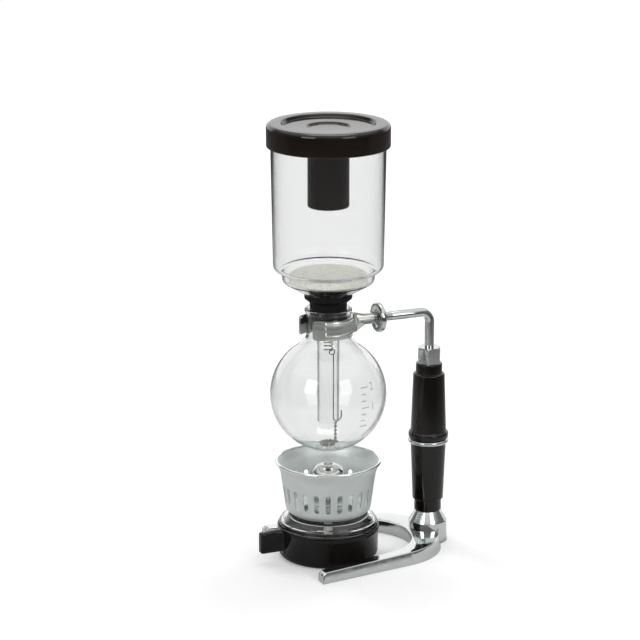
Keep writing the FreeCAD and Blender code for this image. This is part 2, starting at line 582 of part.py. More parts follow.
def clamp_jaw(side, tip_x, end_reach):
    """One jaw of the neck clamp: flat end, curved band, bend and tongue; side +1 is behind, -1 in front."""
    band_inner = NECK_RADIUS + MOVING_CLEARANCE
    band_outer = band_inner + BAND_WALL
    band_middle = (band_inner + band_outer) / 2
    tongue_inner_y = TONGUE_GAP / 2
    tongue_outer_y = tongue_inner_y + BAND_WALL
    tongue_middle_y = (tongue_inner_y + tongue_outer_y) / 2
    bend_y = tongue_middle_y + JAW_BEND
    bend_x = math.sqrt((band_middle + JAW_BEND) ** 2 - bend_y ** 2)
    root_angle = math.atan2(bend_y, bend_x)
    open_angle = math.radians(BAND_OPEN_ANGLE)
    half_wall = BAND_WALL / 2

    def round_neck(radius, angle):
        return Vector(radius * math.cos(angle), radius * math.sin(angle), BAND_LOW_Z)

    def round_bend(radius, angle):
        return Vector(bend_x + radius * math.cos(angle), bend_y + radius * math.sin(angle), BAND_LOW_Z)

    bend_from = root_angle + math.pi
    bend_to = 1.5 * math.pi
    bend_half = (bend_from + bend_to) / 2
    band_half = (root_angle + open_angle) / 2
    inner_half = round_neck(band_inner, band_half)
    outer_half = round_neck(band_outer, band_half)
    inner_bend = JAW_BEND + half_wall
    outer_bend = JAW_BEND - half_wall
    inner_tip = Vector(tip_x, tongue_inner_y, BAND_LOW_Z)
    outer_tip = Vector(tip_x, tongue_outer_y, BAND_LOW_Z)
    along_end = Vector(-math.sin(open_angle), math.cos(open_angle), 0)
    inner_leave = round_neck(band_inner, open_angle)
    outer_leave = round_neck(band_outer, open_angle)
    inner_end = inner_leave + along_end * end_reach
    outer_end = outer_leave + along_end * end_reach
    plan = Part.Wire([
        Part.LineSegment(inner_end, inner_leave).toShape(),
        Part.Arc(inner_leave, inner_half, round_neck(band_inner, root_angle)).toShape(),
        Part.Arc(round_bend(inner_bend, bend_from), round_bend(inner_bend, bend_half),
                 round_bend(inner_bend, bend_to)).toShape(),
        Part.LineSegment(round_bend(inner_bend, bend_to), inner_tip).toShape(),
        Part.LineSegment(inner_tip, outer_tip).toShape(),
        Part.LineSegment(outer_tip, round_bend(outer_bend, bend_to)).toShape(),
        Part.Arc(round_bend(outer_bend, bend_to), round_bend(outer_bend, bend_half),
                 round_bend(outer_bend, bend_from)).toShape(),
        Part.Arc(round_neck(band_outer, root_angle), outer_half, outer_leave).toShape(),
        Part.LineSegment(outer_leave, outer_end).toShape(),
        Part.LineSegment(outer_end, inner_end).toShape(),
    ])
    strip = Part.Face(plan).extrude(Vector(0, 0, BAND_HEIGHT))

    band_high_z = BAND_LOW_Z + BAND_HEIGHT
    tongue_low_z = ARM_Z - TONGUE_HEIGHT / 2
    tongue_high_z = ARM_Z + TONGUE_HEIGHT / 2
    taper_end_x = bend_x + TONGUE_TAPER
    side_view = Part.Face(Part.Wire(rounded_edges([
        (-2 * band_outer, BAND_LOW_Z, 0),
        (bend_x, BAND_LOW_Z, TONGUE_CORNER),
        (taper_end_x, tongue_low_z, TONGUE_CORNER),
        (tip_x + 1, tongue_low_z, 0),
        (tip_x + 1, tongue_high_z, 0),
        (taper_end_x, tongue_high_z, TONGUE_CORNER),
        (bend_x, band_high_z, TONGUE_CORNER),
        (-2 * band_outer, band_high_z, 0),
    ])))
    strip = strip.common(side_view.extrude(Vector(0, 2 * band_outer, 0)))

    end_edges = []
    for edge in strip.Edges:
        middle = edge.valueAt((edge.FirstParameter + edge.LastParameter) / 2)
        at_end = abs((middle - inner_end).dot(along_end)) < CLOSE
        at_corner = min(abs(middle.z - BAND_LOW_Z), abs(middle.z - band_high_z)) < CLOSE
        if at_end and at_corner:
            end_edges.append(edge)
    strip = strip.makeFillet(BAND_CORNER, end_edges)

    ribs = []
    rib_ring = band_outer - RIB_SINK
    for rib_z in (BAND_MID_Z - RIB_SPACING / 2, BAND_MID_Z + RIB_SPACING / 2):
        circle = Part.makeCircle(RIB_RADIUS, Vector(rib_ring, 0, rib_z), Vector(0, 1, 0))
        rib = Part.Face(Part.Wire(circle)).revolve(Vector(0, 0, 0), UP, RIB_END_ANGLE - RIB_START_ANGLE)
        rib.rotate(Vector(0, 0, 0), UP, RIB_START_ANGLE)
        ribs.append(rib)
        for angle in (RIB_START_ANGLE, RIB_END_ANGLE):
            turn = math.radians(angle)
            centre = Vector(rib_ring * math.cos(turn), rib_ring * math.sin(turn), rib_z)
            ribs.append(Part.makeSphere(RIB_RADIUS, centre))
    rib_start = Vector(bend_x + JAW_BEND / 2, tongue_outer_y - RIB_SINK, ARM_Z)
    rib_length = NUT_FACE_X - MOVING_CLEARANCE - TONGUE_RIB_RADIUS - rib_start.x
    ribs.append(Part.makeCylinder(TONGUE_RIB_RADIUS, rib_length, rib_start, Vector(1, 0, 0)))
    ribs.append(Part.makeSphere(TONGUE_RIB_RADIUS, rib_start))
    ribs.append(Part.makeSphere(TONGUE_RIB_RADIUS, rib_start + Vector(rib_length, 0, 0)))
    neck_space = cylinder(band_inner, BAND_LOW_Z - 1, band_high_z + 1)
    other_corner = Vector(-2 * band_outer, tongue_inner_y - band_outer, BAND_LOW_Z - BAND_HEIGHT / 2)
    other_side = Part.makeBox(2 * band_outer + tip_x, band_outer, 2 * BAND_HEIGHT, other_corner)
    raised = ribs[0].multiFuse(ribs[1:]).cut(neck_space).cut(other_side)
    jaw = strip.fuse(raised).removeSplitter()
    if side < 0:
        jaw = jaw.mirror(Vector(0, 0, 0), Vector(0, 1, 0))
    return jaw


def turned_on_arm(corners):
    """A piece turned about the arm's axis, from (radius, x, rounding) corners."""
    piece = turned_block(corners)
    piece.rotate(Vector(0, 0, 0), Vector(0, 1, 0), 90)
    piece.translate(Vector(0, 0, ARM_Z))
    return piece


def clamp_nut():
    """Round nut whose recess holds the two tongues together."""
    bore = HUB_RADIUS + RUNNING_CLEARANCE
    back_x = NUT_FACE_X + NUT_THICKNESS
    return turned_on_arm([
        (bore + NUT_EDGE, NUT_FACE_X, 0),
        (NUT_RADIUS, NUT_FACE_X, NUT_EDGE),
        (NUT_RADIUS, back_x, NUT_EDGE),
        (bore, back_x, 0),
        (bore, NUT_FACE_X + NUT_EDGE, 0),
    ])


def clamp_nut_hub():
    """Threaded core of the nut, which runs along the arm's thread."""
    bore = ROD_RADIUS + RUNNING_CLEARANCE
    start_x = NUT_FACE_X + NUT_RECESS
    end_x = start_x + HUB_LENGTH
    return turned_on_arm([
        (bore, start_x, 0),
        (HUB_RADIUS, start_x, 0),
        (HUB_RADIUS, end_x, HUB_EDGE),
        (bore, end_x, 0),
    ])


def lower_bulb():
    """Blown glass bulb: a sphere, a conical shoulder, a straight neck and a rolled lip."""
    inner_radius = BULB_RADIUS - BULB_WALL
    inner_neck = NECK_RADIUS - BULB_WALL
    shoulder_z = BULB_CENTRE_Z + BULB_CONE_RISE
    lip_low_z = LIP_TOP_Z - LIP_HEIGHT

    def half_ball(radius):
        shoulder = math.sqrt(radius ** 2 - BULB_CONE_RISE ** 2)
        start = on_plane(0, BULB_CENTRE_Z - radius)
        end = on_plane(shoulder, shoulder_z)
        return Part.Arc(start, on_plane(radius, BULB_CENTRE_Z), end).toShape(), end

    outer_ball, outer_shoulder = half_ball(BULB_RADIUS)
    inner_ball, inner_shoulder = half_ball(inner_radius)
    outside = rounded_edges([
        (outer_shoulder.x, outer_shoulder.z, 0),
        (NECK_RADIUS, NECK_BASE_Z, NECK_FILLET),
        (NECK_RADIUS, lip_low_z, LIP_EDGE),
        (LIP_RADIUS, lip_low_z + LIP_EDGE, LIP_EDGE),
        (LIP_RADIUS, LIP_TOP_Z, LIP_EDGE),
        (inner_neck, LIP_TOP_Z, LIP_EDGE),
        (inner_neck, NECK_BASE_Z, NECK_FILLET + BULB_WALL),
        (inner_shoulder.x, inner_shoulder.z, 0),
    ], closed=False)
    bottom = Part.LineSegment(on_plane(0, BULB_CENTRE_Z - inner_radius),
                              on_plane(0, BULB_CENTRE_Z - BULB_RADIUS)).toShape()
    return turned([outer_ball, inner_ball, bottom] + outside)


def funnel_whole():
    """Glass funnel: stem, conical cup with the filter's seat, shelf and tall bowl."""
    outer = [
        (STEM_RADIUS, STEM_END_Z, 0),
        (STEM_RADIUS, STEM_TOP_Z, STEM_FILLET),
        (CUP_RADIUS, CUP_CONE_TOP_Z, CUP_EDGE),
        (CUP_TOP_RADIUS, SHELF_Z, SHELF_FILLET),
        (BOWL_FOOT_RADIUS, SHELF_Z, BOWL_FOOT_EDGE),
        (BOWL_TOP_RADIUS, BOWL_TOP_Z, 0),
    ]
    inner = inner_corners(outer, GLASS_WALL)
    stem_bore = STEM_RADIUS - STEM_WALL
    inner_slope_z = inner[2][1] - (inner[2][0] - stem_bore) * CONE_SLOPE
    inner[0] = (stem_bore, STEM_END_Z, 0)
    inner[1] = (stem_bore, inner_slope_z, STEM_FILLET)
    inner[-1] = (inner[-1][0], BOWL_TOP_Z, 0)
    edges = rounded_edges(outer, closed=False) + rounded_edges(inner, closed=False)
    edges.append(Part.LineSegment(on_plane(*outer[0][:2]), on_plane(*inner[0][:2])).toShape())
    edges.append(Part.LineSegment(on_plane(*outer[-1][:2]), on_plane(*inner[-1][:2])).toShape())
    glass = turned(edges)
    rims = ring_edges(glass, BOWL_TOP_RADIUS, BOWL_TOP_Z) + ring_edges(glass, inner[-1][0], BOWL_TOP_Z)
    return glass.makeFillet(BOWL_RIM_EDGE, rims)


def funnel_glass():
    """The blown bowl and cup, down to the seam where the drawn stem is fused on."""
    return funnel_whole().cut(cylinder(BOWL_TOP_RADIUS, STEM_END_Z, LIP_TOP_Z))


def funnel_stem():
    """The drawn glass tube below the seam."""
    return funnel_whole().common(cylinder(BOWL_TOP_RADIUS, STEM_END_Z, LIP_TOP_Z))


def cone_z(radius):
    """Height of the funnel's outer cone at a radius."""
    return STEM_TOP_Z + (radius - STEM_RADIUS) * CONE_SLOPE


def gasket():
    """Rubber stopper on the stem: a flared flange under the funnel and a tapered plug in the neck."""
    drop = SEAT_GAP * math.sqrt(1 + CONE_SLOPE ** 2)
    flange_top_z = cone_z(GASKET_FLANGE_RADIUS) - drop
    mouth_top_z = cone_z(GASKET_MOUTH_RADIUS) - drop
    fillet_turn = math.pi / 2 - math.atan(CONE_SLOPE)
    mouth_floor_z = STEM_TOP_Z - STEM_FILLET * math.tan(fillet_turn / 2) - SEAT_GAP
    flange_low_z = flange_top_z - GASKET_FLANGE_HEIGHT
    waist_z = flange_low_z - (GASKET_FLANGE_RADIUS - GASKET_NECK_RADIUS) * GASKET_FLANGE_SLOPE
    tip_z = LIP_TOP_Z - GASKET_DEPTH
    return turned_block([
        (STEM_RADIUS, tip_z, 0),
        (GASKET_TIP_RADIUS, tip_z, GASKET_TIP_EDGE),
        (GASKET_NECK_RADIUS, waist_z, GASKET_WAIST_EDGE),
        (GASKET_FLANGE_RADIUS, flange_low_z, GASKET_FLANGE_EDGE),
        (GASKET_FLANGE_RADIUS, flange_top_z, 0),
        (GASKET_MOUTH_RADIUS, mouth_top_z, 0),
        (GASKET_MOUTH_RADIUS, mouth_floor_z, 0),
        (STEM_RADIUS, mouth_floor_z, 0),
    ])


def filter_low_z():
    """Underside of the filter, whose rounded edge sits on the cup's inner cone."""
    seat_radius = FILTER_RADIUS - FILTER_EDGE
    lean = math.sqrt(1 + CONE_SLOPE ** 2)
    seat_z = cone_z(seat_radius) + GLASS_WALL * lean
    return seat_z + (FILTER_EDGE + SEAT_GAP) * lean - FILTER_EDGE


def filter_cloth():
    """Cloth bag over the disc, gathered round the stud below."""
    low_z = filter_low_z()
    return turned_shell([
        (CLOTH_MOUTH_RADIUS, low_z, 0),
        (FILTER_RADIUS, low_z, FILTER_EDGE),
        (FILTER_RADIUS, low_z + FILTER_THICKNESS, FILTER_EDGE),
        (0, low_z + FILTER_THICKNESS, 0),
    ], CLOTH_THICKNESS)


def filter_plate_z():
    """Top of the disc's plate, just under the cloth."""
    return filter_low_z() + FILTER_THICKNESS - CLOTH_THICKNESS - SEAT_GAP


def filter_disc():
    """Perforated metal disc with a turned-down rim, inside the cloth."""
    plate_z = filter_plate_z()
    rim_radius = FILTER_RADIUS - CLOTH_THICKNESS - SEAT_GAP
    rim_low_z = filter_low_z() + FILTER_EDGE
    disc = turned_shell([
        (rim_radius, rim_low_z, 0),
        (rim_radius, plate_z, FILTER_EDGE - CLOTH_THICKNESS),
        (0, plate_z, 0),
    ], DISC_PLATE)
    holes = []
    ring_count = 1 + int((rim_radius - DISC_RIM_MARGIN - DISC_RING_START) / DISC_RING_PITCH)
    for ring in range(ring_count):
        ring_radius = DISC_RING_START + ring * DISC_RING_PITCH
        count = DISC_FIRST_HOLES + ring * DISC_MORE_HOLES
        for index in range(count):
            angle = math.radians(FULL_TURN * index / count)
            x = ring_radius * math.cos(angle)
            y = ring_radius * math.sin(angle)
            holes.append(cylinder(DISC_HOLE_RADIUS, plate_z - 2 * DISC_PLATE, plate_z + 1, x, y))
    return disc.cut(holes)


def filter_stud():
    """Stud under the disc that carries the spring."""
    head_z = filter_plate_z() - DISC_PLATE
    return turned_block([
        (0, head_z - STUD_LENGTH, 0),
        (STUD_RADIUS, head_z - STUD_LENGTH, STUD_TIP_EDGE),
        (STUD_RADIUS, head_z - STUD_HEAD_HEIGHT, 0),
        (STUD_HEAD_RADIUS, head_z - STUD_HEAD_HEIGHT, 0),
        (STUD_HEAD_RADIUS, head_z, 0),
        (0, head_z, 0),
    ])


def spring_top_z():
    """Height of the spring's upper end, a little way up the stud."""
    return filter_plate_z() - DISC_PLATE - STUD_LENGTH + SPRING_ON_STUD


def spring_low_z():
    """Height of the spring's lower end."""
    return spring_top_z() - SPRING_TURNS * SPRING_PITCH


def helix_point(turns):
    """Point of the spring's centre line, counted in turns from its lower end at +X."""
    angle = 2 * math.pi * turns
    return Vector(SPRING_RADIUS * math.cos(angle), SPRING_RADIUS * math.sin(angle),
                  spring_low_z() + SPRING_PITCH * turns)


def helix_heading(turns):
    """Unit heading of the spring's centre line."""
    angle = 2 * math.pi * turns
    around = 2 * math.pi * SPRING_RADIUS
    heading = Vector(-around * math.sin(angle), around * math.cos(angle), SPRING_PITCH)
    return heading.normalize()


def tangent_arc(start, control, end):
    """Arc from start to end whose end tangents meet at control."""
    chord_middle = (start + end) / 2
    reach = (chord_middle - control).Length
    leg = (start - control).Length
    half_turn = math.asin(reach / leg)
    radius = leg / math.tan(half_turn)
    middle = control + (chord_middle - control) * ((radius / math.cos(half_turn) - radius) / reach)
    return Part.Arc(start, middle, end).toShape()


def biarc(start, start_heading, end, end_heading):
    """Two arcs that join two points with the given headings."""
    span = end - start
    both = start_heading + end_heading
    squared = 2 * start_heading.dot(end_heading) - 2
    linear = -2 * span.dot(both)
    constant = span.dot(span)
    root = math.sqrt(linear ** 2 - 4 * squared * constant)
    reach = (-linear - root) / (2 * squared)
    first_control = start + start_heading * reach
    second_control = end - end_heading * reach
    joint = (first_control + second_control) / 2
    return [tangent_arc(start, first_control, joint), tangent_arc(joint, second_control, end)]


def filter_spring():
    """Open coil spring in the stem, one unbroken wire."""
    stub = 2 * SPRING_WIRE_RADIUS
    low = helix_point(0)
    edges = [Part.LineSegment(low - helix_heading(0) * stub, low).toShape()]
    for half in range(2 * SPRING_TURNS):
        begin = half / 2
        end = (half + 1) / 2
        edges.extend(biarc(helix_point(begin), helix_heading(begin), helix_point(end), helix_heading(end)))
    high = helix_point(SPRING_TURNS)
    edges.append(Part.LineSegment(high, high + helix_heading(SPRING_TURNS) * stub).toShape())
    return swept_wire(edges, SPRING_WIRE_RADIUS)


def spring_gap():
    """Least gap between the spring's wire and itself, measured between points half a turn or more apart."""
    steps = 24
    points = [helix_point(step / steps) for step in range(steps * SPRING_TURNS + 1)]
    least = min((points[first] - points[second]).Length
                for first in range(len(points))
                for second in range(first + steps // 2, min(first + 2 * steps, len(points))))
    return least - 2 * SPRING_WIRE_RADIUS


def hook_leg_x():
    """Distance of the hook's long leg from the axis, so that its bend goes under the stem's wall."""
    return STEM_RADIUS - STEM_WALL / 2 + RUNNING_CLEARANCE - HOOK_BEND


def hook_bend_z():
    """Centre height of the hook's bend, which hangs just under the stem's end."""
    inner_bend = HOOK_BEND - HOOK_WIRE_RADIUS - MOVING_CLEARANCE
    half_wall = STEM_WALL / 2 + RUNNING_CLEARANCE
    return STEM_END_Z + math.sqrt(inner_bend ** 2 - half_wall ** 2)


def pull_hook():
    """Wire with an eye on the spring's last turn, a long leg and a hook under the stem's end."""
    eye_x = SPRING_RADIUS
    eye_z = spring_low_z() - EYE_HANG
    leg_x = hook_leg_x()
    bend_z = hook_bend_z()
    far_x = leg_x + 2 * HOOK_BEND
    eye = Part.makeTorus(EYE_RADIUS, HOOK_WIRE_RADIUS, Vector(eye_x, 0, eye_z), Vector(0, 1, 0))
    leg_top = Vector(eye_x, 0, eye_z - EYE_RADIUS)
    leg_end = Vector(leg_x, 0, bend_z)
    bend_bottom = Vector(leg_x + HOOK_BEND, 0, bend_z - HOOK_BEND)
    wire = swept_wire([
        Part.LineSegment(Vector(leg_x, 0, leg_top.z), leg_end).toShape(),
        Part.Arc(leg_end, bend_bottom, Vector(far_x, 0, bend_z)).toShape(),
        Part.LineSegment(Vector(far_x, 0, bend_z), Vector(far_x, 0, bend_z + HOOK_RISE)).toShape(),
    ], HOOK_WIRE_RADIUS)
    tip = Part.makeSphere(HOOK_WIRE_RADIUS, Vector(far_x, 0, bend_z + HOOK_RISE))
    return eye.multiFuse([wire, tip])


def bead_centres():
    """Centres of the chain's beads: hanging under the hook, then heaped in a spiral on the bulb's floor."""
    hang_x = hook_leg_x() + HOOK_BEND / 2
    below_bend = HOOK_BEND + HOOK_WIRE_RADIUS + BEAD_RADIUS + RUNNING_CLEARANCE
    first_z = hook_bend_z() - math.sqrt(below_bend ** 2 - (HOOK_BEND / 2) ** 2)
    ball = BULB_RADIUS - BULB_WALL - BEAD_RADIUS - MOVING_CLEARANCE

    def floor_z(radius):
        return BULB_CENTRE_Z - math.sqrt(ball ** 2 - radius ** 2)

    centres = []
    z = first_z
    while z > floor_z(HEAP_OUTER_RADIUS) + BEAD_SPACING / 2:
        centres.append(Vector(hang_x, 0, z))
        z -= BEAD_SPACING
    angle = 0.0
    radius = HEAP_OUTER_RADIUS
    shrink = (HEAP_OUTER_RADIUS - HEAP_INNER_RADIUS) / HEAP_BEADS
    for _ in range(HEAP_BEADS):
        centres.append(Vector(radius * math.cos(angle), radius * math.sin(angle), floor_z(radius)))
        angle += BEAD_SPACING / radius
        radius -= shrink
    return centres


def split_bead(centre, ways):
    """A bead in two half shells, each with one link in its middle; ways are the links' unit headings."""
    pole = ways[0].cross(ways[-1])
    if pole.Length < CLOSE:
        pole = ways[0].cross(Vector(0, 1, 0))
    pole.normalize()
    edge_way = ways[0] + ways[-1]
    if len(ways) == 1 or edge_way.Length < BEAD_STRAIGHT:
        edge_way = pole.cross(ways[0])
    edge_way.normalize()
    turn = FreeCAD.Rotation(edge_way, pole.cross(edge_way), pole, "ZXY")
    half = Part.makeSphere(BEAD_RADIUS, Vector(0, 0, 0), UP, -90, 90, FULL_TURN / 2)
    other = half.copy()
    other.rotate(Vector(0, 0, 0), UP, FULL_TURN / 2)
    bead = half.fuse(other)
    bead.Placement = FreeCAD.Placement(centre, turn)
    return bead


def bead_chain():
    """Ball chain of beads on short links."""
    centres = bead_centres()
    headings = [(end - start).normalize() for start, end in zip(centres, centres[1:])]
    pieces = []
    for index, centre in enumerate(centres):
        ways = []
        if index > 0:
            ways.append(headings[index - 1] * -1)
        if index < len(headings):
            ways.append(headings[index])
        pieces.append(split_bead(centre, ways))
    for start, end, heading in zip(centres, centres[1:], headings):
        inset = BEAD_RADIUS - BEAD_LINK_SINK
        length = (end - start).Length - 2 * inset
        pieces.append(Part.makeCylinder(BEAD_LINK_RADIUS, length, start + heading * inset, heading))
    return pieces[0].multiFuse(pieces[1:])


def lid():
    """Lid with a dished top, a skirt round the bowl's rim and a tube that can hold the funnel's stem."""
    recess_z = LID_TOP_Z - LID_RECESS_DEPTH
    dimple_z = recess_z - LID_DIMPLE_DEPTH
    under_z = recess_z - LID_WALL
    skirt_z = LID_TOP_Z - LID_DEPTH
    skirt_inner = LID_RADIUS - LID_WALL
    tube_bore = TUBE_RADIUS - LID_WALL
    tube_end_z = under_z - TUBE_LENGTH
    return turned_block([
        (0, dimple_z, 0),
        (LID_DIMPLE_RADIUS - LID_DIMPLE_DEPTH, dimple_z, LID_DIMPLE_EDGE),
        (LID_DIMPLE_RADIUS, recess_z, LID_DIMPLE_EDGE),
        (LID_RECESS_RADIUS, recess_z, LID_RECESS_EDGE),
        (LID_RECESS_RADIUS + LID_RECESS_DEPTH / 2, LID_TOP_Z, LID_RIM_EDGE),
        (LID_RADIUS, LID_TOP_Z, LID_EDGE),
        (LID_RADIUS, skirt_z, LID_SKIRT_EDGE),
        (skirt_inner, skirt_z, LID_SKIRT_EDGE),
        (skirt_inner, LID_TOP_Z - LID_WALL, LID_INNER_EDGE),
        (LID_RECESS_RADIUS + LID_WALL, LID_TOP_Z - LID_WALL, 0),
        (LID_RECESS_RADIUS + LID_WALL, under_z, 0),
        (TUBE_RADIUS, under_z, TUBE_ROOT_EDGE),
        (TUBE_RADIUS, tube_end_z, TUBE_END_EDGE),
        (tube_bore, tube_end_z, TUBE_END_EDGE),
        (tube_bore, under_z - LID_DIMPLE_DEPTH, LID_INNER_EDGE),
        (0, under_z - LID_DIMPLE_DEPTH, 0),
    ])


def burner_holder():
    """Moulded cup with a rounded foot, a lip and a flat handle."""
    lip_radius = HOLDER_RADIUS + HOLDER_LIP_OUT
    lip_z = HOLDER_HEIGHT - HOLDER_LIP_HEIGHT
    bore = HOLDER_RADIUS - HOLDER_WALL
    body = turned_block([
        (0, 0, 0),
        (HOLDER_RADIUS, 0, HOLDER_EDGE),
        (HOLDER_RADIUS, lip_z - HOLDER_LIP_OUT, 0),
        (lip_radius, lip_z, HOLDER_STEP_EDGE),
        (lip_radius, HOLDER_HEIGHT, HOLDER_LIP_EDGE),
        (0, HOLDER_HEIGHT, 0),
    ])
    top_z = HOLDER_HEIGHT - HANDLE_DROP
    low_z = top_z - HANDLE_HEIGHT
    root_x = -HOLDER_RADIUS + HANDLE_ROOT
    handle = Part.makeBox(HANDLE_REACH + root_x, HANDLE_THICKNESS, HANDLE_HEIGHT,
                          Vector(-HANDLE_REACH, -HANDLE_THICKNESS / 2, low_z))
    outer_edges = [edge for edge in handle.Edges if edge.BoundBox.XMin < root_x - CLOSE]
    handle = handle.makeFillet(HANDLE_EDGE, outer_edges)
    hollow = cylinder(bore, HOLDER_FLOOR, HOLDER_HEIGHT)
    return body.fuse(handle).cut(hollow).removeSplitter()


def lamp_neck_z():
    """Top of the lamp's glass neck."""
    return LAMP_TOP_Z + LAMP_NECK_HEIGHT


def lamp_reservoir():
    """Glass jar that fills the holder, with a ringed shoulder above the rim and a short neck."""
    body_radius = HOLDER_RADIUS - HOLDER_WALL - MOVING_CLEARANCE
    flange_z = HOLDER_HEIGHT + SEAT_GAP
    jar = turned_shell([
        (0, HOLDER_FLOOR + SEAT_GAP, 0),
        (body_radius, HOLDER_FLOOR + SEAT_GAP, LAMP_BASE_EDGE),
        (body_radius, flange_z, 0),
        (LAMP_FLANGE_RADIUS, flange_z, 0),
        (LAMP_FLANGE_RADIUS, flange_z + LAMP_FLANGE_HEIGHT, 0),
        (LAMP_SHOULDER_RADIUS, LAMP_TOP_Z, LAMP_SHOULDER_EDGE),
        (LAMP_NECK_RADIUS, LAMP_TOP_Z, LAMP_NECK_EDGE),
        (LAMP_NECK_RADIUS, lamp_neck_z(), 0),
    ], LAMP_WALL)
    rings = []
    slant_height = LAMP_TOP_Z - flange_z - LAMP_FLANGE_HEIGHT
    for index in range(LAMP_RING_COUNT):
        share = index / (LAMP_RING_COUNT + 1)
        ring_radius = LAMP_FLANGE_RADIUS + (LAMP_SHOULDER_RADIUS - LAMP_FLANGE_RADIUS) * share
        ring_z = flange_z + LAMP_FLANGE_HEIGHT + slant_height * share
        torus_radius = ring_radius - LAMP_RING_RADIUS / 2
        rings.append(Part.makeTorus(torus_radius, LAMP_RING_RADIUS, Vector(0, 0, ring_z), UP))
    return jar.multiFuse(rings).removeSplitter()


def lamp_collar():
    """Metal cap over the lamp's neck, with the wick tube's hole."""
    inner = LAMP_NECK_RADIUS + SEAT_GAP
    tube_hole = WICK_RADIUS + WICK_TUBE_WALL + RUNNING_CLEARANCE
    low_z = LAMP_TOP_Z + LAMP_NECK_EDGE + SEAT_GAP
    return turned_block([
        (inner, low_z, 0),
        (inner + COLLAR_WALL, low_z, 0),
        (inner + COLLAR_WALL, COLLAR_TOP_Z, COLLAR_EDGE),
        (tube_hole, COLLAR_TOP_Z, 0),
        (tube_hole, COLLAR_TOP_Z - COLLAR_TOP, 0),
        (inner, COLLAR_TOP_Z - COLLAR_TOP, 0),
    ])


def wick_tube():
    """Tube that holds the wick, with a flange on the collar."""
    bore = WICK_RADIUS + RUNNING_CLEARANCE
    outer = WICK_RADIUS + WICK_TUBE_WALL
    low_z = COLLAR_TOP_Z - WICK_TUBE_DROP
    return turned_block([
        (bore, low_z, 0),
        (outer, low_z, 0),
        (outer, COLLAR_TOP_Z, 0),
        (WICK_FLANGE_RADIUS, COLLAR_TOP_Z, 0),
        (WICK_FLANGE_RADIUS, COLLAR_TOP_Z + WICK_FLANGE_THICKNESS, WICK_FLANGE_EDGE),
        (outer, COLLAR_TOP_Z + WICK_FLANGE_THICKNESS, 0),
        (outer, COLLAR_TOP_Z + WICK_TUBE_RISE, 0),
        (bore, COLLAR_TOP_Z + WICK_TUBE_RISE, 0),
    ])


def wick():
    """Cotton wick from the tube's mouth down to the jar's floor, where its tail lies."""
    top_z = COLLAR_TOP_Z + WICK_TUBE_RISE + WICK_SHOW
    floor_z = HOLDER_FLOOR + SEAT_GAP + LAMP_WALL + WICK_RADIUS + SEAT_GAP
    bend_start = Vector(0, 0, floor_z + WICK_BEND)
    bend_end = Vector(-WICK_BEND, 0, floor_z)
    diagonal = WICK_BEND * (1 - math.sqrt(0.5))
    bend_middle = Vector(-diagonal, 0, floor_z + diagonal)
    return swept_wire([
        Part.LineSegment(Vector(0, 0, top_z), bend_start).toShape(),
        Part.Arc(bend_start, bend_middle, bend_end).toShape(),
        Part.LineSegment(bend_end, bend_end - Vector(WICK_TAIL, 0, 0)).toShape(),
    ], WICK_RADIUS)


def windshield():
    """Spun metal cup with a flared, beaded rim and a row of upright draught slots."""
    low_z = LAMP_TOP_Z + SEAT_GAP
    flare_z = SHIELD_TOP_Z - SHIELD_FLARE_HEIGHT
    bead_z = SHIELD_TOP_Z - SHIELD_BEAD_RADIUS
    wall = turned_shell([
        (SHIELD_HOLE_RADIUS, low_z, 0),
        (SHIELD_FOOT_RADIUS, low_z, SHIELD_FOOT_EDGE),
        (SHIELD_WAIST_RADIUS, flare_z, SHIELD_FLARE_EDGE),
        (SHIELD_FLARE_RADIUS, bead_z, 0),
    ], SHIELD_WALL)
    bead_ring = SHIELD_FLARE_RADIUS - SHIELD_WALL / 2
    bead = Part.makeTorus(bead_ring, SHIELD_BEAD_RADIUS, Vector(0, 0, bead_z), UP)
    slot_low_z = LAMP_TOP_Z + SLOT_LOW + SLOT_WIDTH / 2
    slot_high_z = LAMP_TOP_Z + SLOT_LOW + SLOT_LENGTH - SLOT_WIDTH / 2
    reach = SHIELD_WAIST_RADIUS + 2 * SHIELD_WALL
    inside = SHIELD_FOOT_RADIUS - SHIELD_FOOT_EDGE
    outward = Vector(1, 0, 0)
    round_low = Part.makeCylinder(SLOT_WIDTH / 2, reach - inside, Vector(inside, 0, slot_low_z), outward)
    round_high = Part.makeCylinder(SLOT_WIDTH / 2, reach - inside, Vector(inside, 0, slot_high_z), outward)
    straight = Part.makeBox(reach - inside, SLOT_WIDTH, slot_high_z - slot_low_z,
                            Vector(inside, -SLOT_WIDTH / 2, slot_low_z))
    cutter = straight.multiFuse([round_low, round_high]).removeSplitter()
    slots = []
    for index in range(SLOT_COUNT):
        slot = cutter.copy()
        slot.rotate(Vector(0, 0, 0), UP, SLOT_PHASE + FULL_TURN * index / SLOT_COUNT)
        slots.append(slot)
    return wall.fuse(bead).removeSplitter().cut(slots)


def snuffer_cap():
    """Domed cap with a dimple on top, standing on the collar over the wick."""
    low_z = COLLAR_TOP_Z + SEAT_GAP + MOVING_CLEARANCE / 2
    top_z = low_z + CAP_HEIGHT
    return turned_shell([
        (CAP_RADIUS, low_z, 0),
        (CAP_RADIUS, top_z, CAP_SHOULDER),
        (CAP_DIMPLE_RADIUS, top_z, CAP_DIMPLE_RIM_EDGE),
        (CAP_DIMPLE_RADIUS - CAP_DIMPLE_EDGE, top_z - CAP_DIMPLE_DEPTH, CAP_DIMPLE_EDGE),
        (0, top_z - CAP_DIMPLE_DEPTH, 0),
    ], CAP_WALL)


